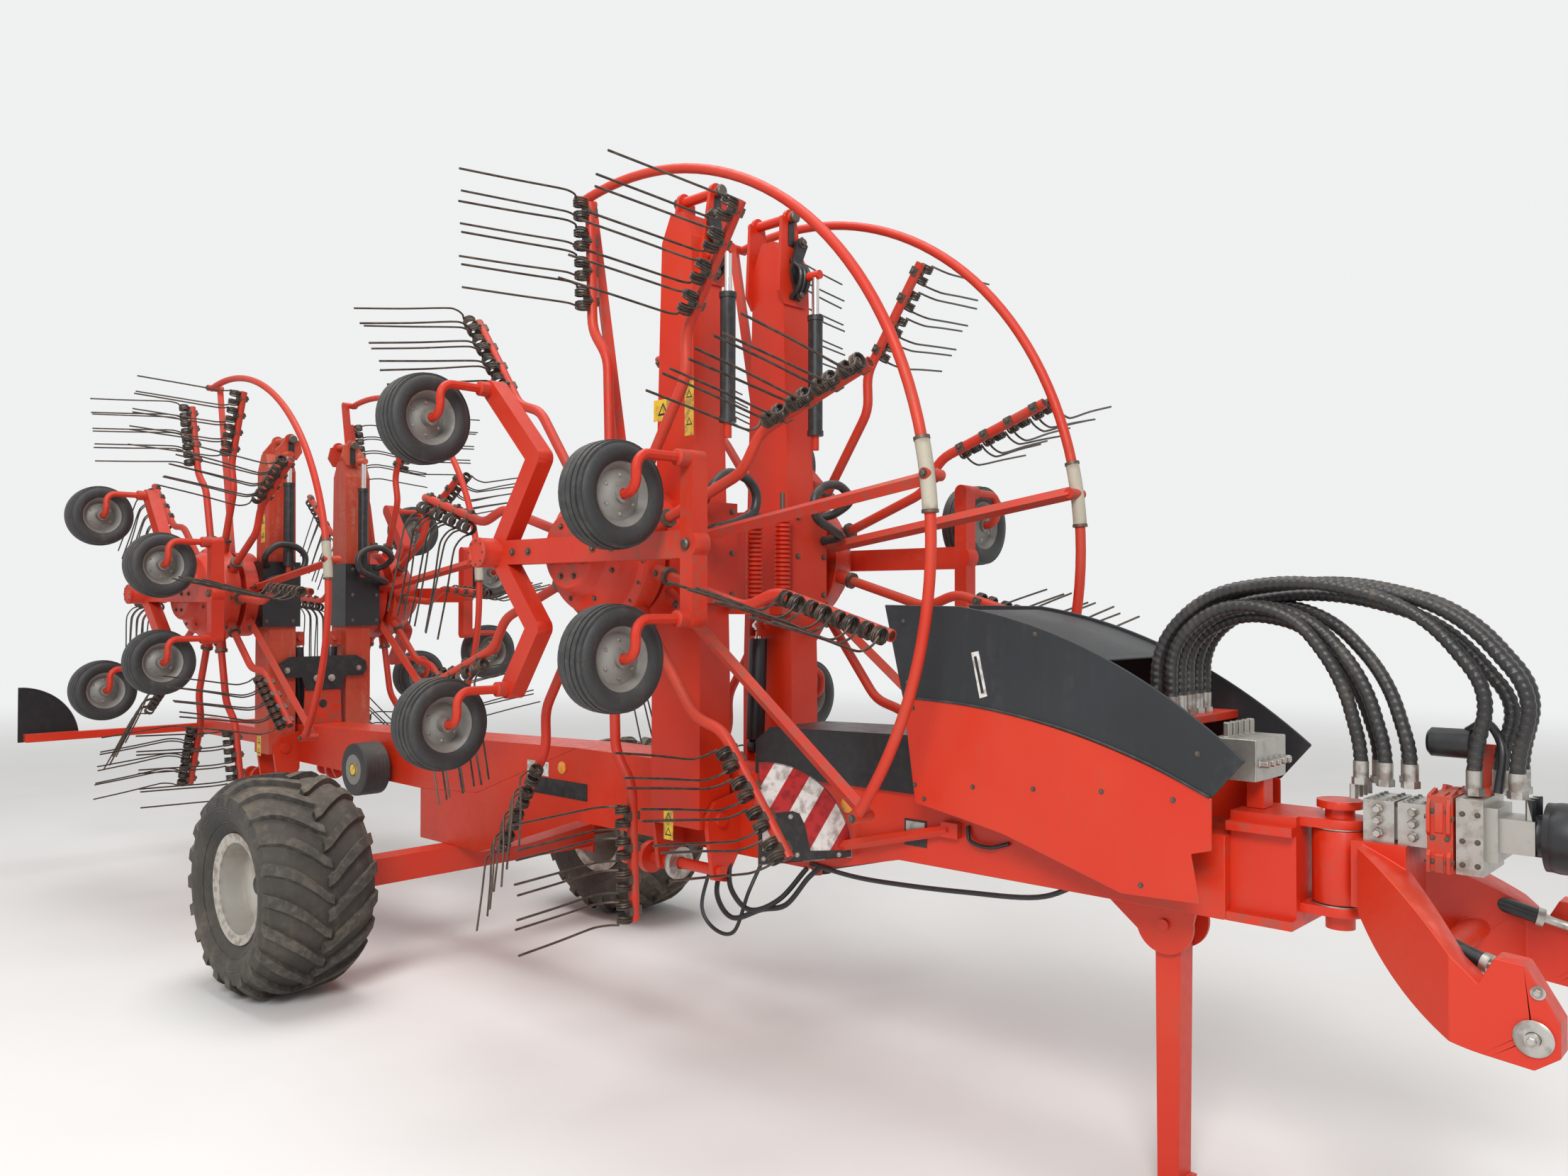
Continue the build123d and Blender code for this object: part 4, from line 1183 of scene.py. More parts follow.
    def tines(self, number: int) -> Draft:
        """The double spring tines of one arm, each a little out of line as in use.

        Args:
            number: the arm's number.

        Returns:
            The tines, from the arm's root.
        """
        draft = Draft()
        middle = -self.coil - self.tube - 0.004
        turn = np.linspace(0.0, 2 * math.pi * self.coil_turns, 40)
        for count, x in enumerate(self.places()):
            for way in (-1, 1):
                stray = 0.012 * math.sin(number * 2.7 + count * 1.9 + way)
                inner, outer = (x + way * end for end in self.coil_ends)
                wound = [(inner + (outer - inner) * t / turn[-1], middle + self.coil * math.cos(t),
                          -self.coil * math.sin(t)) for t in turn]
                leg = ((middle - self.coil, 0.0), (-0.11, -0.030), (-self.knee, -self.back), (-0.22, -0.045),
                       (-0.42, 0.006 + stray * 0.6), (-self.length, self.ahead + stray))
                line = curve_through([(outer, y, z) for y, z in leg], 3)
                draft.tube([(x, 0.0, -0.022), (inner, middle + self.coil, 0.0)], self.wire, 5)
                draft.tube([*wound, *line[1:]], self.wire, 5)
        return draft


@dataclass
class Hoop:
    """Guard tube round a rotor's front half, on three struts."""

    plan: RotorPlan
    side: str
    struts: tuple[float, float, float] = (-37.0, 8.0, 101.0)
    tube: float = 0.022
    strut_r: float = 0.029
    sleeve_r: float = 0.029
    strut_y: float = -0.485
    tube_y: float = -0.545
    reach: float = 0.3

    def spoke(self, angle: float, distance: float, y: float) -> Point:
        """A point at an angle in degrees and a distance from the rotor's line, y across the machine."""
        turn = math.radians(angle)
        return (distance * math.cos(turn), y, distance * math.sin(turn))

    def arc(self, draft: Draft, angles: Sequence[float], radius: float, sides: int, paint: int = 0) -> None:
        """A stretch of pipe round the rotor, through angles in degrees; sides are its round's steps."""
        draft.tube([self.spoke(a, self.plan.hoop, self.tube_y) for a in angles], radius, sides, paint)

    def build(self) -> None:
        """Makes the hoop in place of its frame node."""
        draft = Draft()
        low, middle, high = self.struts
        self.arc(draft, np.linspace(low, high, 57), self.tube, 12)
        for angle in self.struts:
            inner = self.spoke(angle, self.reach + 0.001, self.strut_y)
            x, y, z = self.spoke(angle, self.plan.hoop + 0.005, self.strut_y)
            draft.tube([inner, (x, y, z)], self.strut_r, 4)
            draft.tube([(x, y + 0.02, z), (x, y - 0.09, z)], self.tube, 14)
            draft.bolt((x, y - 0.09, z), Axis.OUT, 0.012, 1)
            draft.bolt(self.spoke(angle, self.reach + 0.09, self.strut_y - 0.022), Axis.OUT, 0.012, 1)
        self.arc(draft, np.linspace(middle - 4.5, middle + 4.5, 9), self.sleeve_r, 16, 2)
        for start in (middle - 4.7, middle + 4.3):
            self.arc(draft, (start, start + 0.4), self.sleeve_r + 0.003, 16, 1)
        end = self.plan.name
        self.plan.place(draft, self.side).build(
            f"{end}_hoop_look_{self.side}", f"{end}_carriage_{self.side}", [ARM_RED, BOLT, CREAM], Slot.RED,
            (f"{end}_hoop_{self.side}",))


# Hood, hoses and hitch


@dataclass
class HoodFittings:
    """Bolts, level slot and reflectors on the hood and the beam."""

    panel_y: float = 0.300
    beam_y: float = 0.170
    bolts: Outline = (
        (2.745, 1.68), (2.755, 1.38), (3.025, 1.40), (3.285, 1.42), (3.555, 1.44), (3.815, 1.44),
        (2.80, 1.33), (3.70, 1.14), (3.295, 1.98), (2.70, 2.02), (2.72, 1.78), (3.90, 1.60),
    )
    bolt_r: float = 0.0065
    reflectors: Outline = ((0.303, 1.203), (2.305, 1.234))
    reflector: Outline = ((0, 0), (0.034, 0), (0.034, 0.006), (0.028, 0.011), (0, 0.012))
    slot_edge: Outline = ((3.020, 1.905), (3.052, 1.912), (3.090, 1.745), (3.058, 1.735))
    slot_hole: Outline = ((3.033, 1.890), (3.044, 1.893), (3.077, 1.757), (3.066, 1.753))
    slot_proud: Pair = (0.003, 0.0045)
    seat: float = 0.0005
    seam_r: float = 0.005
    seam_proud: float = 0.002
    seam: Outline = ((2.700, 1.722), (3.05, 1.703), (3.40, 1.648), (3.70, 1.562), (3.94, 1.463))

    def build(self) -> None:
        """Makes the fittings on both sides."""
        half = Draft()
        face = -self.panel_y
        for x, z in self.bolts:
            half.bolt((x, face, z), Axis.OUT, self.bolt_r, 0)
        edge, hole = (face - proud for proud in self.slot_proud)
        half.prism(self.slot_edge, edge, face, paint=1)
        half.prism(self.slot_hole, hole, edge, paint=2)
        for x, z in self.reflectors:
            half.lathe(self.reflector, (x, -self.beam_y - self.seat, z), Axis.OUT, 28, 3)
        half.tube(curve_through([(x, face - self.seam_proud, z) for x, z in self.seam], 8), self.seam_r, 6, 4)
        half.on_both_sides().build("hood_fittings", "chassis", [BOLT, WHITE, BLACK, AMBER, HOOD_BLACK],
                                   Slot.BLACK)


@dataclass
class HoseArch:
    """A row of spiral-wrapped pressure hoses from the hood to the hitch."""

    name: str
    corners: Outline
    ports: Outline
    spread: float
    ends: Pair
    replaced: tuple[str, ...] = ()
    foot: float = 1.70
    port_z: float = 1.525
    shares: tuple[float, ...] = (0.2, 0.5, 0.9, 1.0)
    radius: float = 0.0195
    ridge: float = 0.0026
    pitch: float = 0.024
    sides: int = 10
    step: float = 0.006
    bend_z: float = 1.9

    def build(self) -> None:
        """Makes the hoses and their ferrules."""
        draft = Draft()
        for number, (port_x, end) in enumerate(self.ports):
            y = (number - (len(self.ports) - 1) / 2) * self.spread
            lift = 0.04 * math.sin(number * 2.4) - 0.03 * (number % 2)
            away = port_x - self.ports[0][0]
            points = [(self.corners[0][0], y, self.foot), (self.corners[0][0], y, self.corners[0][1])]
            for (x, z), share in zip(self.corners[1:], self.shares):
                points.append((x + away * share, y + (end - y) * share, z + lift))
            points += [(port_x, end, self.port_z + 0.11), (port_x, end, self.port_z)]
            self.hose(draft, rounded(points, 0.30, 10))
            for x, y, z in (points[0], points[-1]):
                draft.tube([(x, y, z), (x, y, z + 0.07)], 0.0235, 12, 1)
                draft.tube([(x, y, z - 0.004), (x, y, z + 0.018)], 0.028, 6, 1)
        piece = draft.build(self.name, "", [HOSE, STEEL], Slot.BLACK, self.replaced)
        start, end = ((x, 0.0, self.bend_z) for x in self.ends)
        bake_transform(piece)
        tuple(start)
        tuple(end)

    def hose(self, draft: Draft, line: list[np.ndarray]) -> None:
        """One hose with the ridge of its spiral guard.

        Args:
            draft: where it is drawn.
            line: the points of its middle line.
        """
        points = np.array(line)
        lengths = np.concatenate([[0.0], np.cumsum(np.linalg.norm(np.diff(points, axis=0), axis=1))])
        places = np.arange(0.0, lengths[-1], self.step)
        even = np.array([[np.interp(s, lengths, points[:, axis]) for axis in range(3)] for s in places])
        heading = np.gradient(even, axis=0)
        heading /= np.linalg.norm(heading, axis=1)[:, None]
        turn = circle(self.sides)
        rings = []
        for s, (place, spokes) in zip(places, sweep(even, heading, np.array(Axis.ACROSS.value), turn)):
            wave = (s / self.pitch + turn / (2 * math.pi)) % 1.0
            thick = self.radius + self.ridge * np.clip(np.minimum(wave, 1 - wave) * 5.0 - 0.5, 0.0, 1.0)
            rings.append(place + thick[:, None] * spokes)
        draft.rings(rings)


SHORT_HOSES = HoseArch(
    "short_hoses", ((3.735, 1.96), (3.915, 2.10), (4.135, 2.06), (4.275, 1.86)),
    ((4.330, -0.065), (4.400, -0.060), (4.365, 0.005), (4.470, -0.050), (4.435, 0.060)), 0.068,
    (3.75, 4.28))
LONG_HOSES = HoseArch(
    "long_hoses", ((3.675, 1.95), (3.855, 2.13), (4.175, 2.175), (4.505, 2.08), (4.695, 1.83)),
    ((4.650, -0.070), (4.760, -0.060), (4.705, 0.0), (4.745, 0.070)), 0.084, (3.70, 4.30), ("hoses",))


@dataclass
class PumpFittings:
    """Unions, bolts, filter and guard on the pump and valve blocks of the hitch."""

    pivot_x: float = 4.245
    deck: float = 1.35
    banks: Pair = (0.10, 0.20)
    studs_x: Pair = (0.02, 0.07)
    studs_y: tuple[float, ...] = (-0.07, -0.025, 0.025, 0.07)
    ports_x: float = 0.045
    ports_z: tuple[float, ...] = (0.03, 0.07, 0.105)
    block_top: float = 0.13
    block_y: float = -0.095
    casting_y: float = 0.125
    casting_z: Pair = (-0.062, 0.168)
    side_bolts_x: tuple[float, ...] = (0.305, 0.345, 0.385, 0.425)
    side_bolts_z: tuple[float, ...] = (-0.03, 0.04, 0.12)
    through_bolts: Outline = ((-0.118, -0.03), (-0.118, 0.10), (-0.07, 0.155), (0.07, 0.155))
    guard_at: Point = (0.582, 0.0, 0.06)
    bracket: tuple[tuple[Point, Point], ...] = (((0.37, 0.0, 0.16), (0.44, 0.09, 0.18)),
                                                ((0.37, 0.075, 0.18), (0.44, 0.09, 0.31)))
    filter_at: Point = (0.32, 0.05, 0.31)
    pipe: tuple[Point, ...] = ((0.36, 0.05, 0.35), (0.42, 0.02, 0.38), (0.47, -0.03, 0.31),
                               (0.46, -0.04, 0.18))
    pipe_r: float = 0.013
    union: Outline = ((0, 0), (0.016, 0), (0.016, 0.012), (0.011, 0.016), (0.011, 0.026), (0, 0.026))
    guard: Outline = ((0, 0), (0.088, 0), (0.100, 0.012), (0.103, 0.03), (0.103, 0.100), (0.098, 0.108),
                      (0.0, 0.108))
    filter_can: Outline = ((0, -0.07), (0.034, -0.07), (0.045, -0.06), (0.046, 0.05), (0.03, 0.066),
                           (0, 0.066))

    def at(self, x: float, y: float, z: float) -> Point:
        """A point placed from the pivot at the deck's height."""
        return (self.pivot_x + x, y, self.deck + z)

    def build(self) -> None:
        """Makes the small parts on the hitch."""
        draft = Draft()
        for start in self.banks:
            for y in self.studs_y:
                for x in self.studs_x:
                    draft.bolt(self.at(start + x, y, self.block_top), Axis.UP, 0.007, 0)
            for z in self.ports_z:
                draft.lathe(self.union, self.at(start + self.ports_x, self.block_y, z), Axis.OUT, 6, 0)
        self.casting(draft)
        draft.lathe(self.guard, self.at(*self.guard_at), Axis.ALONG, 40, 1)
        for low, high in self.bracket:
            draft.box(self.at(*low), self.at(*high), 2)
        draft.lathe(self.filter_can, self.at(*self.filter_at), Axis.ALONG, 32, 1)
        draft.tube(curve_through([self.at(*point) for point in self.pipe], 6), self.pipe_r, 10, 1)
        draft.build("pump_fittings", "hitch", [STEEL, BLACK, CASTING, BOLT], Slot.PUMP)

    def casting(self, draft: Draft) -> None:
        """Lobed plates round the red section, with their through bolts and side bolts.

        Args:
            draft: where it is drawn.
        """
        low, high = (self.deck + z for z in self.casting_z)
        for start, thick, grow in ((0.290, 0.010, 0.012), (0.312, 0.022, 0.004), (0.345, 0.010, 0.012)):
            y = self.casting_y + grow
            outline = [(-y, low), (-y, low + 0.05), (-y + 0.018, low + 0.07), (-y + 0.018, low + 0.10),
                       (-y, low + 0.12), (-y, high - 0.03), (-y + 0.02, high), (-0.05, high + grow),
                       (-0.03, high - 0.012), (0.03, high - 0.012), (0.05, high + grow), (y - 0.02, high),
                       (y, high - 0.03), (y, low)]
            draft.prism(outline, self.pivot_x + start, self.pivot_x + start + thick, Axis.ALONG, 2)
        for y, z in self.through_bolts:
            for end, way in ((0.290, -1), (0.355, 1)):
                draft.bolt(self.at(end, y, z), (way, 0, 0), 0.008, 3)
        for z in self.side_bolts_z:
            for x in self.side_bolts_x:
                draft.bolt(self.at(x, -self.casting_y, z), Axis.OUT, 0.0055, 3)


@dataclass
class HitchFittings:
    """Pins, sensors and struts on the bowed arms of the hitch."""

    tip: Point = (4.875, -0.42, 0.96)
    pivot_x: float = 4.245
    washer: Outline = ((0.019, 0), (0.046, 0), (0.048, 0.006), (0.040, 0.010), (0.019, 0.010), (0.019, 0))
    shim: Outline = ((0.05, 0), (0.088, 0), (0.088, 0.006), (0.05, 0.006), (0.05, 0))
    shims_z: Pair = (1.118, 1.366)
    pin: Pair = (0.07, 0.0178)
    face: float = 0.045
    # Each stretch of the strut: its ends, radius, sides and paint
    strut: tuple[tuple[Point, Point, float, int, int], ...] = (
        ((4.555, -0.30, 1.15), (4.735, -0.335, 1.10), 0.024, 18, 1),
        ((4.735, -0.335, 1.10), (4.845, -0.36, 1.07), 0.014, 14, 0),
        ((4.730, -0.334, 1.101), (4.750, -0.339, 1.096), 0.029, 18, 0),
    )

    def build(self) -> None:
        """Makes the small parts on both arms."""
        half = Draft()
        x, y, z = self.tip
        reach, pin_r = self.pin
        half.lathe(self.washer, (x, y - self.face, z), Axis.OUT, 36, 0)
        half.tube([(x, y - reach, z), (x, y + reach, z)], pin_r, 20, 0)
        for at in ((x, y - reach, z), (x + 0.01, y - self.face, z + 0.12)):
            half.bolt(at, Axis.OUT, 0.012, 0)
        for start, end, radius, sides, paint in self.strut:
            half.tube([start, end], radius, sides, paint)
        both = half.on_both_sides()
        for level in self.shims_z:
            both.lathe(self.shim, (self.pivot_x, 0.0, level), Axis.UP, 32, 0)
        both.build("hitch_fittings", "hitch", [STEEL, BLACK], Slot.BLACK)


# Posts, boards and labels


@dataclass(frozen=True)
class Label:
    """A plain yellow warning plate on an arm's outer face."""

    along: float
    z: float
    wide: float
    tall: float
    films: Point = (0.0001, 0.00018, 0.00026)
    twice_above: float = 0.12
    size: float = 0.36
    foot: float = 0.7
    inset: float = 0.6

    def draw(self, draft: Draft, post_x: float, face: float) -> None:
        """Lays the plate and its blank triangles on the arm, thin enough to pass under the slide box.

        Args:
            draft: where it is drawn.
            post_x: the arm's middle.
            face: the arm's outer face.
        """
        x = post_x + self.along
        plate, black, yellow = (face - film for film in self.films)
        draft.box((x - self.wide / 2, plate, self.z - self.tall / 2),
                  (x + self.wide / 2, face, self.z + self.tall / 2), 2)
        size = min(self.wide, self.tall) * self.size
        for sign in (1, -1) if self.tall > self.twice_above else (0,):
            middle = self.z + self.tall / 4 * sign
            low = middle - size * self.foot
            points = [(x - size, low), (x + size, low), (x, middle + size)]
            draft.prism(points, black, plate, paint=0)
            inner = [(x + (a - x) * self.inset, middle + (b - middle) * self.inset) for a, b in points]
            draft.prism(inner, yellow, black, paint=2)


@dataclass
class PostDress:
    """What a lift arm carries: shift cylinder, ears' pins, link, hoses, spring and labels."""

    plan: RotorPlan
    side: str
    hinge_y: float
    top_z: float
    shift_x: float
    shift_z: float
    ear_y: float
    half: float
    labels: tuple[Label, ...]
    full: bool = False
    # Each stretch's start and end below the pin, radius, sides and paint
    cylinder: tuple[tuple[float, float, float, int, int], ...] = (
        (0.205, 0.778, 0.0355, 20, 0), (0.20, 0.225, 0.040, 20, 0), (0.765, 0.79, 0.040, 20, 0),
        (0.01, 0.21, 0.0186, 16, 3),
    )
    spring_at: Point = (1.675, -0.095, 2.075)
    spring_top: float = 2.50
    spring_r: float = 0.034
    spring_pitch: float = 0.021
    spring_wire: Pair = (-0.007, 0.005)
    spring_rod_r: float = 0.012
    spring_cup: Pair = (0.006, 0.012)
    spring_foot: Point = (1.60, -0.215, 2.04)
    arm_half: float = 0.100
    ear_up: float = 0.108
    ear_gap: float = 0.018
    pin_foot: Pair = (0.030, 0.014)
    pin_head: Pair = (0.024, 0.02)
    link_out: float = 0.035
    link_t: float = 0.014
    link_edge: Outline = ((-0.045, -0.02), (-0.005, 0.02), (0.035, -0.01), (0.075, -0.16), (0.035, -0.30),
                          (-0.010, -0.29), (0.020, -0.16))
    link_bolts: Outline = ((-0.004, -0.012), (0.014, -0.275))
    pipe_edge: Outline = ((-0.06, -0.29), (0.0, -0.25), (0.02, -0.16), (-0.06, -0.10))
    pipe_out: float = 0.075
    pipe_bend: float = 0.05
    pipe_r: float = 0.011
    pipes_y: tuple[float, ...] = (0.05, 0.02, -0.01)

    def build(self) -> None:
        """Makes the dress on the arm."""
        draft = Draft()
        x, y, z = self.shift_x, -self.hinge_y, self.shift_z
        for start, end, radius, sides, paint in self.cylinder:
            draft.tube([(x, y, z - start), (x, y, z - end)], radius, sides, paint)
        ear_z = self.top_z + self.ear_up
        for way in (-1, 1):
            face = self.plan.post_x + way * (self.half + self.ear_gap)
            draft.knob((face + way * 0.020, self.ear_y, ear_z), (way, 0, 0), self.pin_foot, self.pin_head,
                       18, 1)
            draft.box((face - 0.001, self.ear_y - 0.02, ear_z - 0.14),
                      (face + 0.006, self.ear_y + 0.02, ear_z - 0.02))
        if self.full:
            self.pipes(draft)
            self.link(draft)
            self.spring(draft)
        for label in self.labels:
            label.draw(draft, self.plan.post_x, -self.hinge_y - self.arm_half)
        end = self.plan.name
        draft.on_side(self.side).build(f"{end}_post_dress_{self.side}", f"{end}_arm_{self.side}",
                                       [BLACK, BOLT, YELLOW, CHROME, RED], Slot.BLACK)

    def link(self, draft: Draft) -> None:
        """The bent black link at the arm's top.

        Args:
            draft: where it is drawn.
        """
        low = self.plan.post_x + self.half + self.link_out
        high = low + self.link_t
        edge, bolts = ([(y - self.hinge_y, z + self.top_z) for y, z in places]
                       for places in (self.link_edge, self.link_bolts))
        draft.prism(edge, low, high, Axis.ALONG, 0)
        for y, z in bolts:
            draft.bolt((high, y, z), Axis.ALONG, 0.017, 1)

    def spring(self, draft: Draft) -> None:
        """The red wound spring on its bracket beside the arm's foot.

        Args:
            draft: where it is drawn.
        """
        (x, y, low), high = self.spring_at, self.spring_top
        pitch, (cup_half, cup_lip) = self.spring_pitch, self.spring_cup
        valley, ridge = (self.spring_r + depth for depth in self.spring_wire)
        draft.box(self.spring_foot, (x + 0.05, y + 0.05, low), 4)
        draft.tube([(x, y, low - 0.06), (x, y, high + 0.12)], self.spring_rod_r, 12, 1)
        ribs = [(0.0, 0.0)]
        for turn in range(int((high - low) / pitch)):
            base = turn * pitch
            ribs += [(valley, base), (ridge, base + 0.25 * pitch), (ridge, base + 0.7 * pitch)]
        ribs += [(valley, high - low), (0.0, high - low)]
        draft.lathe(ribs, self.spring_at, Axis.UP, 20, 4)
        for z in (low + cup_half, high):
            draft.tube([(x, y, z - cup_half), (x, y, z + cup_half)], self.spring_r + cup_lip, 20, 1)
        draft.bolt((x, y, high + cup_half), Axis.UP, 0.018, 1)

    def pipes(self, draft: Draft) -> None:
        """Short hoses over the arm's top, above the slide box's stroke.

        Args:
            draft: where it is drawn.
        """
        middle = self.plan.post_x + self.half + self.pipe_out
        for y in self.pipes_y:
            line = [(middle + x, y - self.hinge_y, self.top_z + z) for x, z in self.pipe_edge]
            draft.tube(rounded(line, self.pipe_bend, 5), self.pipe_r, 8)


@dataclass
class Boards:
    """Striped warning boards in front and behind."""

    radius: float = 0.42
    turn: float = 25.0
    front_at: Point = (2.335, -0.185, 1.02)
    rear_at: Point = (-4.931, -0.96, 1.02)
    foot_plate: Outline = ((-0.418, 0.004), (-0.004, 0.004), (-0.006, 0.03), (-0.19, 0.042), (-0.215, 0.15),
                           (-0.24, 0.20), (-0.27, 0.212), (-0.42, 0.205))
    lens: Outline = ((-0.405, 0.06), (-0.372, 0.06), (-0.365, 0.07), (-0.365, 0.175), (-0.372, 0.185),
                     (-0.405, 0.185))
    bolts: Outline = ((-0.40, 0.025), (-0.25, 0.03), (-0.06, 0.016), (-0.28, 0.19))
    # Where the striped sheet, the plate on it and the lens on that begin and end
    layers: tuple[float, ...] = (0.0062, 0.0072, 0.009, 0.018)
    bead_r: float = 0.0045
    bead_inset: float = 0.012
    bead_middle: Pair = (-0.231, 0.168)
    bead_x: Pair = (0.0034, 0.0075)

    def outline(self) -> list[Pair]:
        """The quarter disc's edge, from its corner round the arc.

        Returns:
            The edge's points.
        """
        arc = [(-self.radius + self.radius * math.cos(t), self.radius * math.sin(t))
               for t in np.linspace(0, math.pi / 2, 19)]
        return [(-self.radius, 0.0), *arc]

    def rim(self, x: float, paint: int = 0) -> Draft:
        """A rubber beading round the edge.

        Args:
            x: its middle's place along the machine.
            paint: the number of the piece's finish.

        Returns:
            The beading.
        """
        draft = Draft()
        share, (across, up) = self.bead_inset, self.bead_middle
        line = [(x, y + (across - y) * share, z + (up - z) * share) for y, z in self.outline()]
        draft.tube(line, self.bead_r, 6, paint, closed=True)
        return draft

    def build(self) -> None:
        """Makes the front boards' faces and the beading of all four."""
        sheet = Draft()
        for paint, outline in enumerate((self.outline(), self.foot_plate, self.lens)):
            sheet.prism(outline, self.layers[paint], self.layers[paint + 1], Axis.ALONG, paint)
        for y, z in self.bolts:
            sheet.bolt((self.layers[2], y, z), Axis.ALONG, 0.007, 3)
        sheet.join(self.rim(self.bead_x[0], 1))
        front = Matrix.Translation(self.front_at) @ Matrix.Rotation(math.radians(-self.turn), 4, "Z")
        sheet.on_both_sides(front).build("front_board_faces", "chassis", [STRIPES, BLACK, WHITE, STEEL],
                                         Slot.BOARD)
        rear = Matrix.Translation(self.rear_at)
        self.rim(self.bead_x[1]).on_both_sides(rear).build("rear_board_faces", "chassis", [BLACK], Slot.BOARD)


@dataclass
class BeamDress:
    """Hoses, plates and the spare wheel along the beams."""

    face: float = -0.171
    plates: tuple[tuple[float, float, float, float, float, float, int], ...] = (
        (-0.016, 0.18, 1.143, 1.22, 0.002, 0.0, 2), (0.002, 0.52, 1.045, 1.135, 0.002, 0.0, 1),
        (2.608, 2.718, 1.109, 1.216, 0.002, 0.0, 1), (2.616, 2.710, 1.165, 1.208, 0.003, 0.002, 3),
    )
    hoses: tuple[tuple[float, tuple[Point, ...]], ...] = (
        (0.009, ((1.54, -0.24, 0.88), (1.54, -0.30, 0.70), (1.62, -0.30, 0.61), (1.75, -0.30, 0.62),
                 (1.82, -0.28, 0.80), (1.83, -0.20, 0.93))),
        (0.012, ((1.60, -0.23, 0.90), (1.62, -0.28, 0.76), (1.74, -0.30, 0.68), (1.90, -0.28, 0.74),
                 (2.03, -0.26, 0.78), (2.12, -0.22, 0.90), (2.16, -0.18, 0.95))),
        (0.012, ((1.64, -0.22, 0.92), (1.70, -0.27, 0.80), (1.84, -0.29, 0.73), (2.00, -0.27, 0.80),
                 (2.10, -0.20, 0.94))),
        (0.010, ((2.10, -0.178, 0.955), (2.35, -0.18, 0.938), (2.60, -0.182, 0.945),
                 (2.90, -0.182, 0.965), (3.22, -0.165, 0.995), (3.40, -0.14, 1.075))),
        (0.008, ((2.92, -0.178, 1.224), (2.94, -0.19, 1.17), (3.03, -0.195, 1.158), (3.106, -0.178, 1.18))),
    )
    roller: Outline = ((0.030, 0), (0.075, 0), (0.078, 0.006), (0.078, 0.028), (0.075, 0.034),
                       (0.030, 0.034), (0.030, 0))
    lock_x: float = -2.800
    lock_foot: Outline = ((-0.15, 1.10), (0.15, 1.10), (0.13, 1.50), (-0.13, 1.50))
    catch: Outline = ((0.13, 1.46), (0.16, 1.555), (0.30, 1.555), (0.335, 1.60), (0.325, 1.66), (0.25, 1.705))
    lock_t: Pair = (0.012, 0.010)
    lock_bolts: Outline = ((-0.27, 1.61), (0.27, 1.61))
    lock_knobs: Outline = ((-0.055, 1.545), (0.055, 1.545))
    lock_disc: Outline = ((0, 0), (0.030, 0), (0.030, 0.002), (0, 0.002))
    lock_disc_z: float = 1.36
    roller_at: Point = (1.40, -0.30, 0.875)
    spare_at: Point = (-1.615, -0.29, 1.03)
    spare_half: float = 0.0815
    spare_r: float = 0.1668
    spare_ribs: tuple[float, ...] = (-0.056, -0.028, 0.0, 0.028, 0.056)
    spare_rim: Outline = ((0.0, -0.083), (0.050, -0.083), (0.070, -0.0815), (0.088, -0.083), (0.096, -0.086),
                          (0.098, -0.080), (0.0, -0.080))
    spare_hub: Outline = ((0.0, -0.0925), (0.026, -0.0925), (0.0405, -0.088), (0.0405, -0.080), (0.0, -0.080))

    def build(self) -> None:
        """Makes the pieces that ride on the chassis."""
        draft = Draft()
        for x0, x1, z0, z1, proud, base, paint in self.plates:
            draft.box((x0, self.face - proud, z0), (x1, self.face - base, z1), paint)
        for radius, points in self.hoses:
            draft.tube(curve_through(points, 8), radius, 8, 1)
        draft.lathe(self.roller, self.roller_at, (-1, 0, 0), 30, 3)
        self.lock(draft)
        draft.build("beam_dress", "chassis", [RED, BLACK, WHITE, STEEL], Slot.BLACK)
        self.spare()

    def lock(self, draft: Draft) -> None:
        """The upright and black catch plate in front of the rear arms.

        Args:
            draft: where it is drawn.
        """
        x, (foot_t, catch_t) = self.lock_x, self.lock_t
        draft.prism(self.lock_foot, x - foot_t, x, Axis.ALONG, 0)
        catch = [*self.catch, *[(-y, z) for y, z in reversed(self.catch)]]
        draft.prism(catch, x, x + catch_t, Axis.ALONG, 1)
        for y, z in self.lock_bolts:
            draft.bolt((x + catch_t, y, z), Axis.ALONG, 0.014, 3)
        for y, z in self.lock_knobs:
            draft.knob((x + catch_t, y, z), Axis.ALONG, (0.026, 0.012), (0.018, 0.016), 20, 3)
        draft.lathe(self.lock_disc, (x, 0.0, self.lock_disc_z), Axis.ALONG, 24, 1)

    def spare(self) -> None:
        """The spare small wheel with its yellow hub, on the rear beam's side."""
        draft = Draft()
        half, tread = self.spare_half, self.spare_r
        ribs = []
        for middle in self.spare_ribs:
            ribs += [(tread - 0.0012, middle - 0.0125), (tread, middle - 0.011), (tread, middle + 0.011),
                     (tread - 0.0012, middle + 0.0125)]
        tyre = [(0.094, -half), (0.100, -half - 0.004), (0.140, -half - 0.005), (0.160, -half - 0.001),
                (0.1662, -0.075), *ribs, (0.1662, 0.075), (0.160, half + 0.001), (0.094, half),
                (0.094, -half)]
        for paint, (profile, steps) in enumerate(((tyre, 48), (self.spare_rim, 36), (self.spare_hub, 28))):
            draft.lathe(profile, self.spare_at, Axis.ACROSS, steps, paint)
        draft.build("spare_wheel", "chassis", [SMALL_TYRE, GREY_RIM, YELLOW], Slot.TYRE)


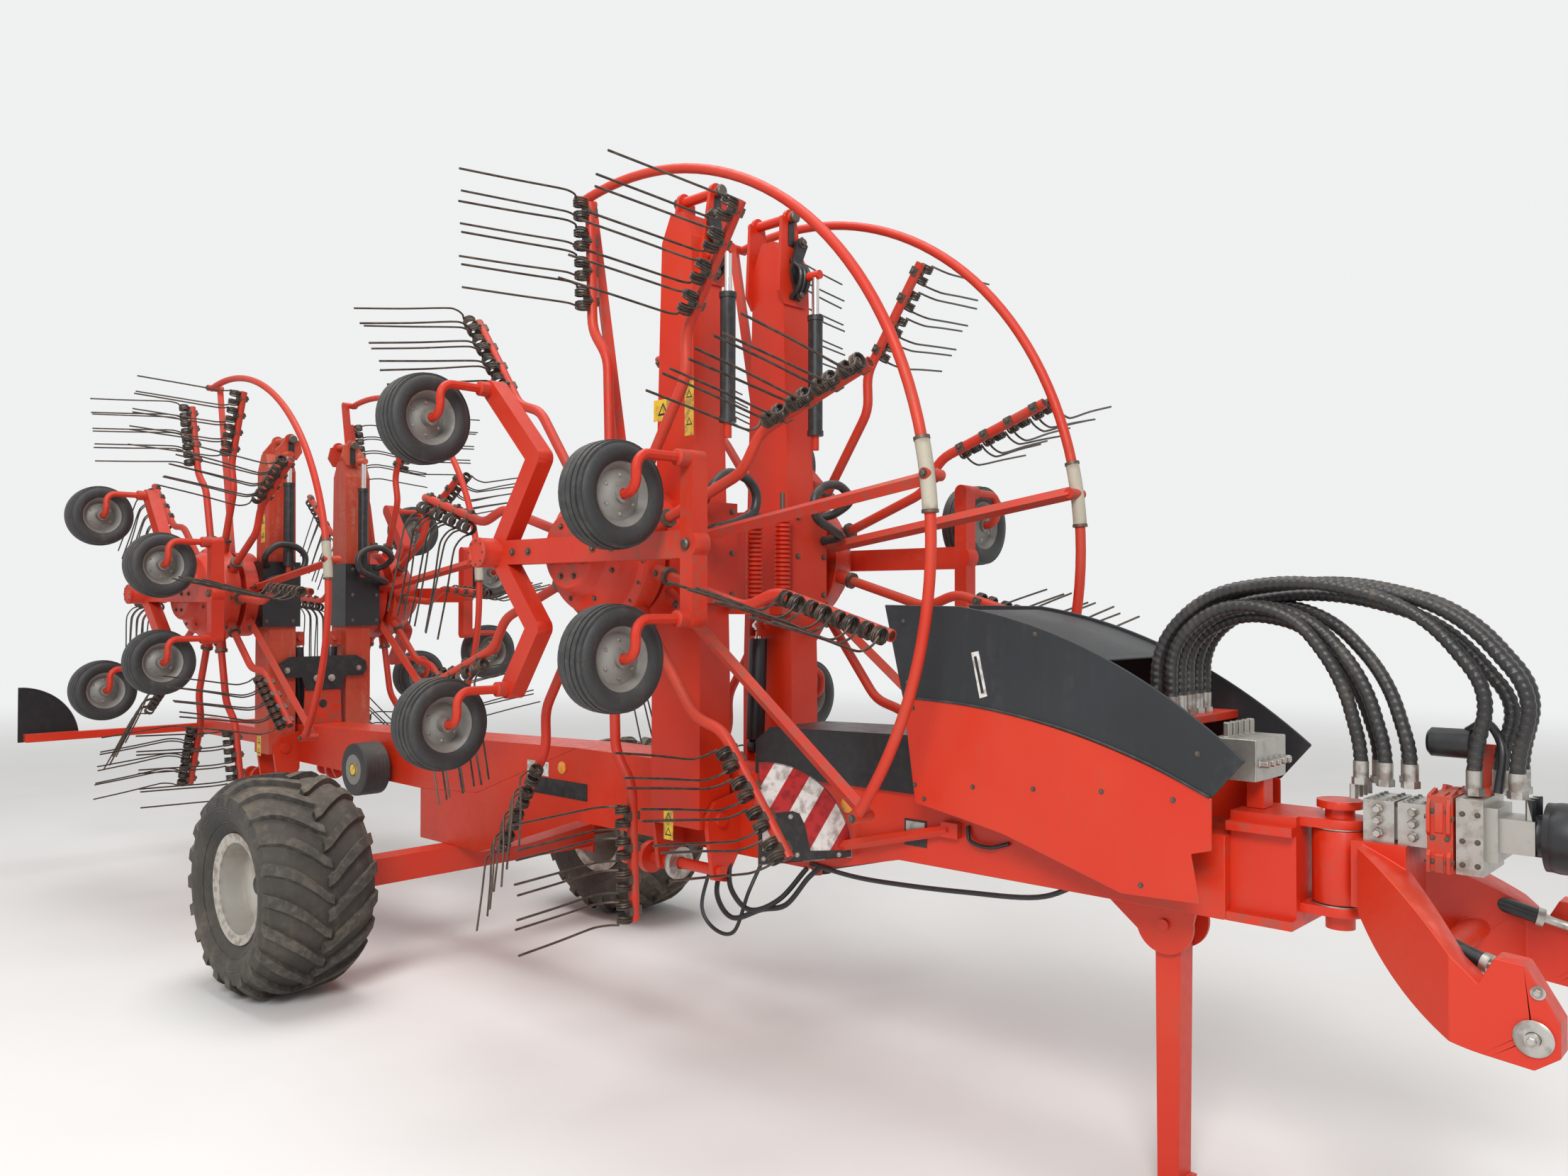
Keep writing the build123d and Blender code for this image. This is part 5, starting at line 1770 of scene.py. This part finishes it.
@dataclass
class FrameDress:
    """Hydraulic loop, bolts and the hub's end cap on a rotor's slide box and wheel frame."""

    plan: RotorPlan
    side: str
    outer: float = -0.964
    cap_out: Pair = (0.09, 0.098)
    plate_bolts: tuple[float, ...] = (-0.28, -0.16, 0.30, 0.42)
    box_bolts_y: Pair = (-0.225, -0.415)
    box_bolts_z: tuple[float, ...] = (-0.19, 0.0, 0.19)
    cap: Outline = ((0.0, 0.004), (0.044, 0.004), (0.048, 0.008), (0.062, 0.008), (0.0695, 0.002),
                    (0.0695, -0.014), (0.0, -0.014))
    loop: tuple[Point, ...] = ((-0.004, -0.41, 0.20), (0.05, -0.45, 0.22), (0.125, -0.47, 0.28),
                               (0.13, -0.39, 0.345), (0.13, -0.27, 0.335), (0.13, -0.20, 0.27),
                               (0.13, -0.22, 0.18), (0.13, -0.33, 0.13), (0.10, -0.43, 0.10),
                               (-0.004, -0.41, 0.08))

    def build(self) -> None:
        """Makes the small parts on the carriage."""
        draft = Draft()
        rear, front = self.plan.rear_strap, self.plan.casters[0][1]
        outer = self.outer
        seat, top = (outer - out for out in self.cap_out)
        draft.lathe(self.cap, (rear, seat, 0.0), Axis.OUT, 36, 0)
        for along, up in spaced(8, 0.055):
            draft.bolt((rear + along, top, up), Axis.OUT, 0.004, 1)
        for z in (0.0, self.plan.casters[0][2], self.plan.casters[1][2]):
            draft.knob((front, outer, z), Axis.OUT, (0.022, 0.012), (0.015, 0.018), 18, 1)
        for _, along, up in self.plan.casters:
            draft.knob((along, outer, up), Axis.OUT, (0.034, 0.05), (0.026, 0.056), 20, 0)
        for along in self.plate_bolts:
            draft.bolt((along, outer, 0.0), Axis.OUT, 0.012, 1)
        face = self.plan.post_x - self.plan.x + self.plan.slide_half
        for y in self.box_bolts_y:
            for z in self.box_bolts_z:
                draft.bolt((face, y, z), Axis.ALONG, 0.010, 1)
        draft.tube(curve_through([(face + x, y, z) for x, y, z in self.loop], 8), 0.022, 10, 2)
        end = self.plan.name
        self.plan.place(draft, self.side).build(
            f"{end}_frame_dress_{self.side}", f"{end}_carriage_{self.side}", [ARM_RED, BOLT, HOSE], Slot.RED)


# Frame nodes that keep their own shape


@dataclass(frozen=True)
class Zone:
    """A part of a frame node with a finish of its own, as a box round its faces' middles."""

    node: str
    low: Point
    high: Point
    finish: Finish

    def holds(self, place: Vector) -> bool:
        """Tells if a face's middle lies in the zone; both sides of the machine are alike."""
        mirrored = (place[0], abs(place[1]), place[2])
        return all(a <= p <= b for a, p, b in zip(self.low, mirrored, self.high))


@dataclass
class FramePaint:
    """Paint on the frame's nodes, with their edges rounded."""

    edge: float = 0.004
    soft_deg: float = 34.0
    merge: float = 0.00005
    zones: tuple[Zone, ...] = (
        Zone("hood_core", (3.80, 0.0, 1.49), (4.10, 0.20, 1.75), STEEL),
        Zone("hood_core", (1.70, 0.0, 1.322), (2.80, 0.20, 1.60), BLACK),
        Zone("pump_unit", (4.532, 0.0, 1.20), (4.618, 0.20, 1.60), CASTING),
        Zone("pump_unit", (4.79, 0.0, 1.20), (5.00, 0.20, 1.60), BLACK),
        Zone("rear_carrier", (-4.9304, 0.9, 1.01), (-4.92, 1.40, 1.50), BLACK),
        Zone("rear_carrier", (-4.94, 0.9, 1.01), (-4.9305, 1.40, 1.50), STRIPES),
        Zone("front_boards", (2.15, 0.17, 1.015), (2.345, 0.58, 1.45), BLACK),
        Zone("rear_beam", (-1.79, 0.205, 0.85), (-1.44, 0.40, 1.21), SMALL_TYRE),
        Zone("rear_frame", (-3.12, 0.0, 1.90), (-2.78, 0.442, 2.40), BLACK),
    )
    rules: tuple[tuple[str, Finish, Slot], ...] = (
        ("tyre_", TYRE, Slot.TYRE), ("rim_", RIM, Slot.RIM), ("wheel_", SMALL_TYRE, Slot.TYRE),
        ("_rod_", CHROME, Slot.CHROME), ("_barrel_", BLACK, Slot.BLACK),
        ("side_covers", HOOD_BLACK, Slot.BLACK), ("hoses", HOSE, Slot.BLACK),
        ("_boards", RED, Slot.BOARD), ("pump_unit", STEEL, Slot.PUMP),
        ("_frame_", ARM_RED, Slot.RED), ("rear_arm_", STREAKED_RED, Slot.RED), ("_rotor_", ARM_RED, Slot.RED),
        ("_hoop_", ARM_RED, Slot.RED), ("", RED, Slot.RED),
    )

    def build(self) -> None:
        """Gives each node its finish and soft edges."""
        for name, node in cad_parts.items():
            finish, slot = next((f, s) for key, f, s in self.rules if key in name)
            node.data.materials.clear()
            node.data.materials.append(finish.material())
            for zone in (z for z in self.zones if name.startswith(z.node)):
                self.fill(node, zone)
            weld = node.modifiers.new("weld", "WELD")
            weld.merge_threshold = self.merge
            bevel = node.modifiers.new("soft edges", "BEVEL")
            bevel.width = self.edge
            bevel.segments = 2
            bevel.limit_method = "ANGLE"
            bevel.angle_limit = math.radians(self.soft_deg)
            bevel.harden_normals = True

    def fill(self, node: bpy.types.Object, zone: Zone) -> None:
        """Gives the zone's faces its finish.

        Args:
            node: the frame node.
            zone: the part of it with a finish of its own.
        """
        node.data.materials.append(zone.finish.material())
        number = len(node.data.materials) - 1
        for face in node.data.polygons:
            if zone.holds(face.center):
                face.material_index = number


LOW_LABEL = Label(-0.045, 1.07, 0.065, 0.14)
FRONT_LABELS = (Label(0.09, 2.98, 0.06, 0.25), Label(-0.09, 2.99, 0.13, 0.10), LOW_LABEL)
REAR_LABELS = (Label(0.0, 2.62, 0.06, 0.20), LOW_LABEL)
WHEEL_Y = -1.215
WHEEL_BACK = 0.14
WHEEL_DROP = 0.15


def main() -> None:
    """Builds every sub-assembly in order."""
    logging.basicConfig(level=logging.INFO, format="%(name)s: %(message)s")
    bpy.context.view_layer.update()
    bpy.context.scene.view_settings.view_transform = "Standard"
    for part in (Studio(), FramePaint(), HoodFittings(), SHORT_HOSES, LONG_HOSES, PumpFittings(),
                 HitchFittings(), Boards(), BeamDress()):
        part.build()
    for side in SIDES:
        TransportWheel(side).build()
        PostDress(FRONT, side, 0.30, 3.89, 1.704, 3.70, -0.252, 0.100, FRONT_LABELS, full=True).build()
        PostDress(REAR, side, 0.28, 3.15, -2.756, 3.14, -0.232, 0.095, REAR_LABELS).build()
        for plan in PLANS:
            for part in (Rotor(plan, side), Hoop(plan, side), FrameDress(plan, side)):
                part.build()
            for letter, along, up in plan.casters:
                centre = (plan.x + along - WHEEL_BACK, WHEEL_Y, plan.z + up - WHEEL_DROP)
                SmallWheel(plan.name, letter, side, centre, letter in plan.plates).build()


if __name__ == "__main__":
    main()
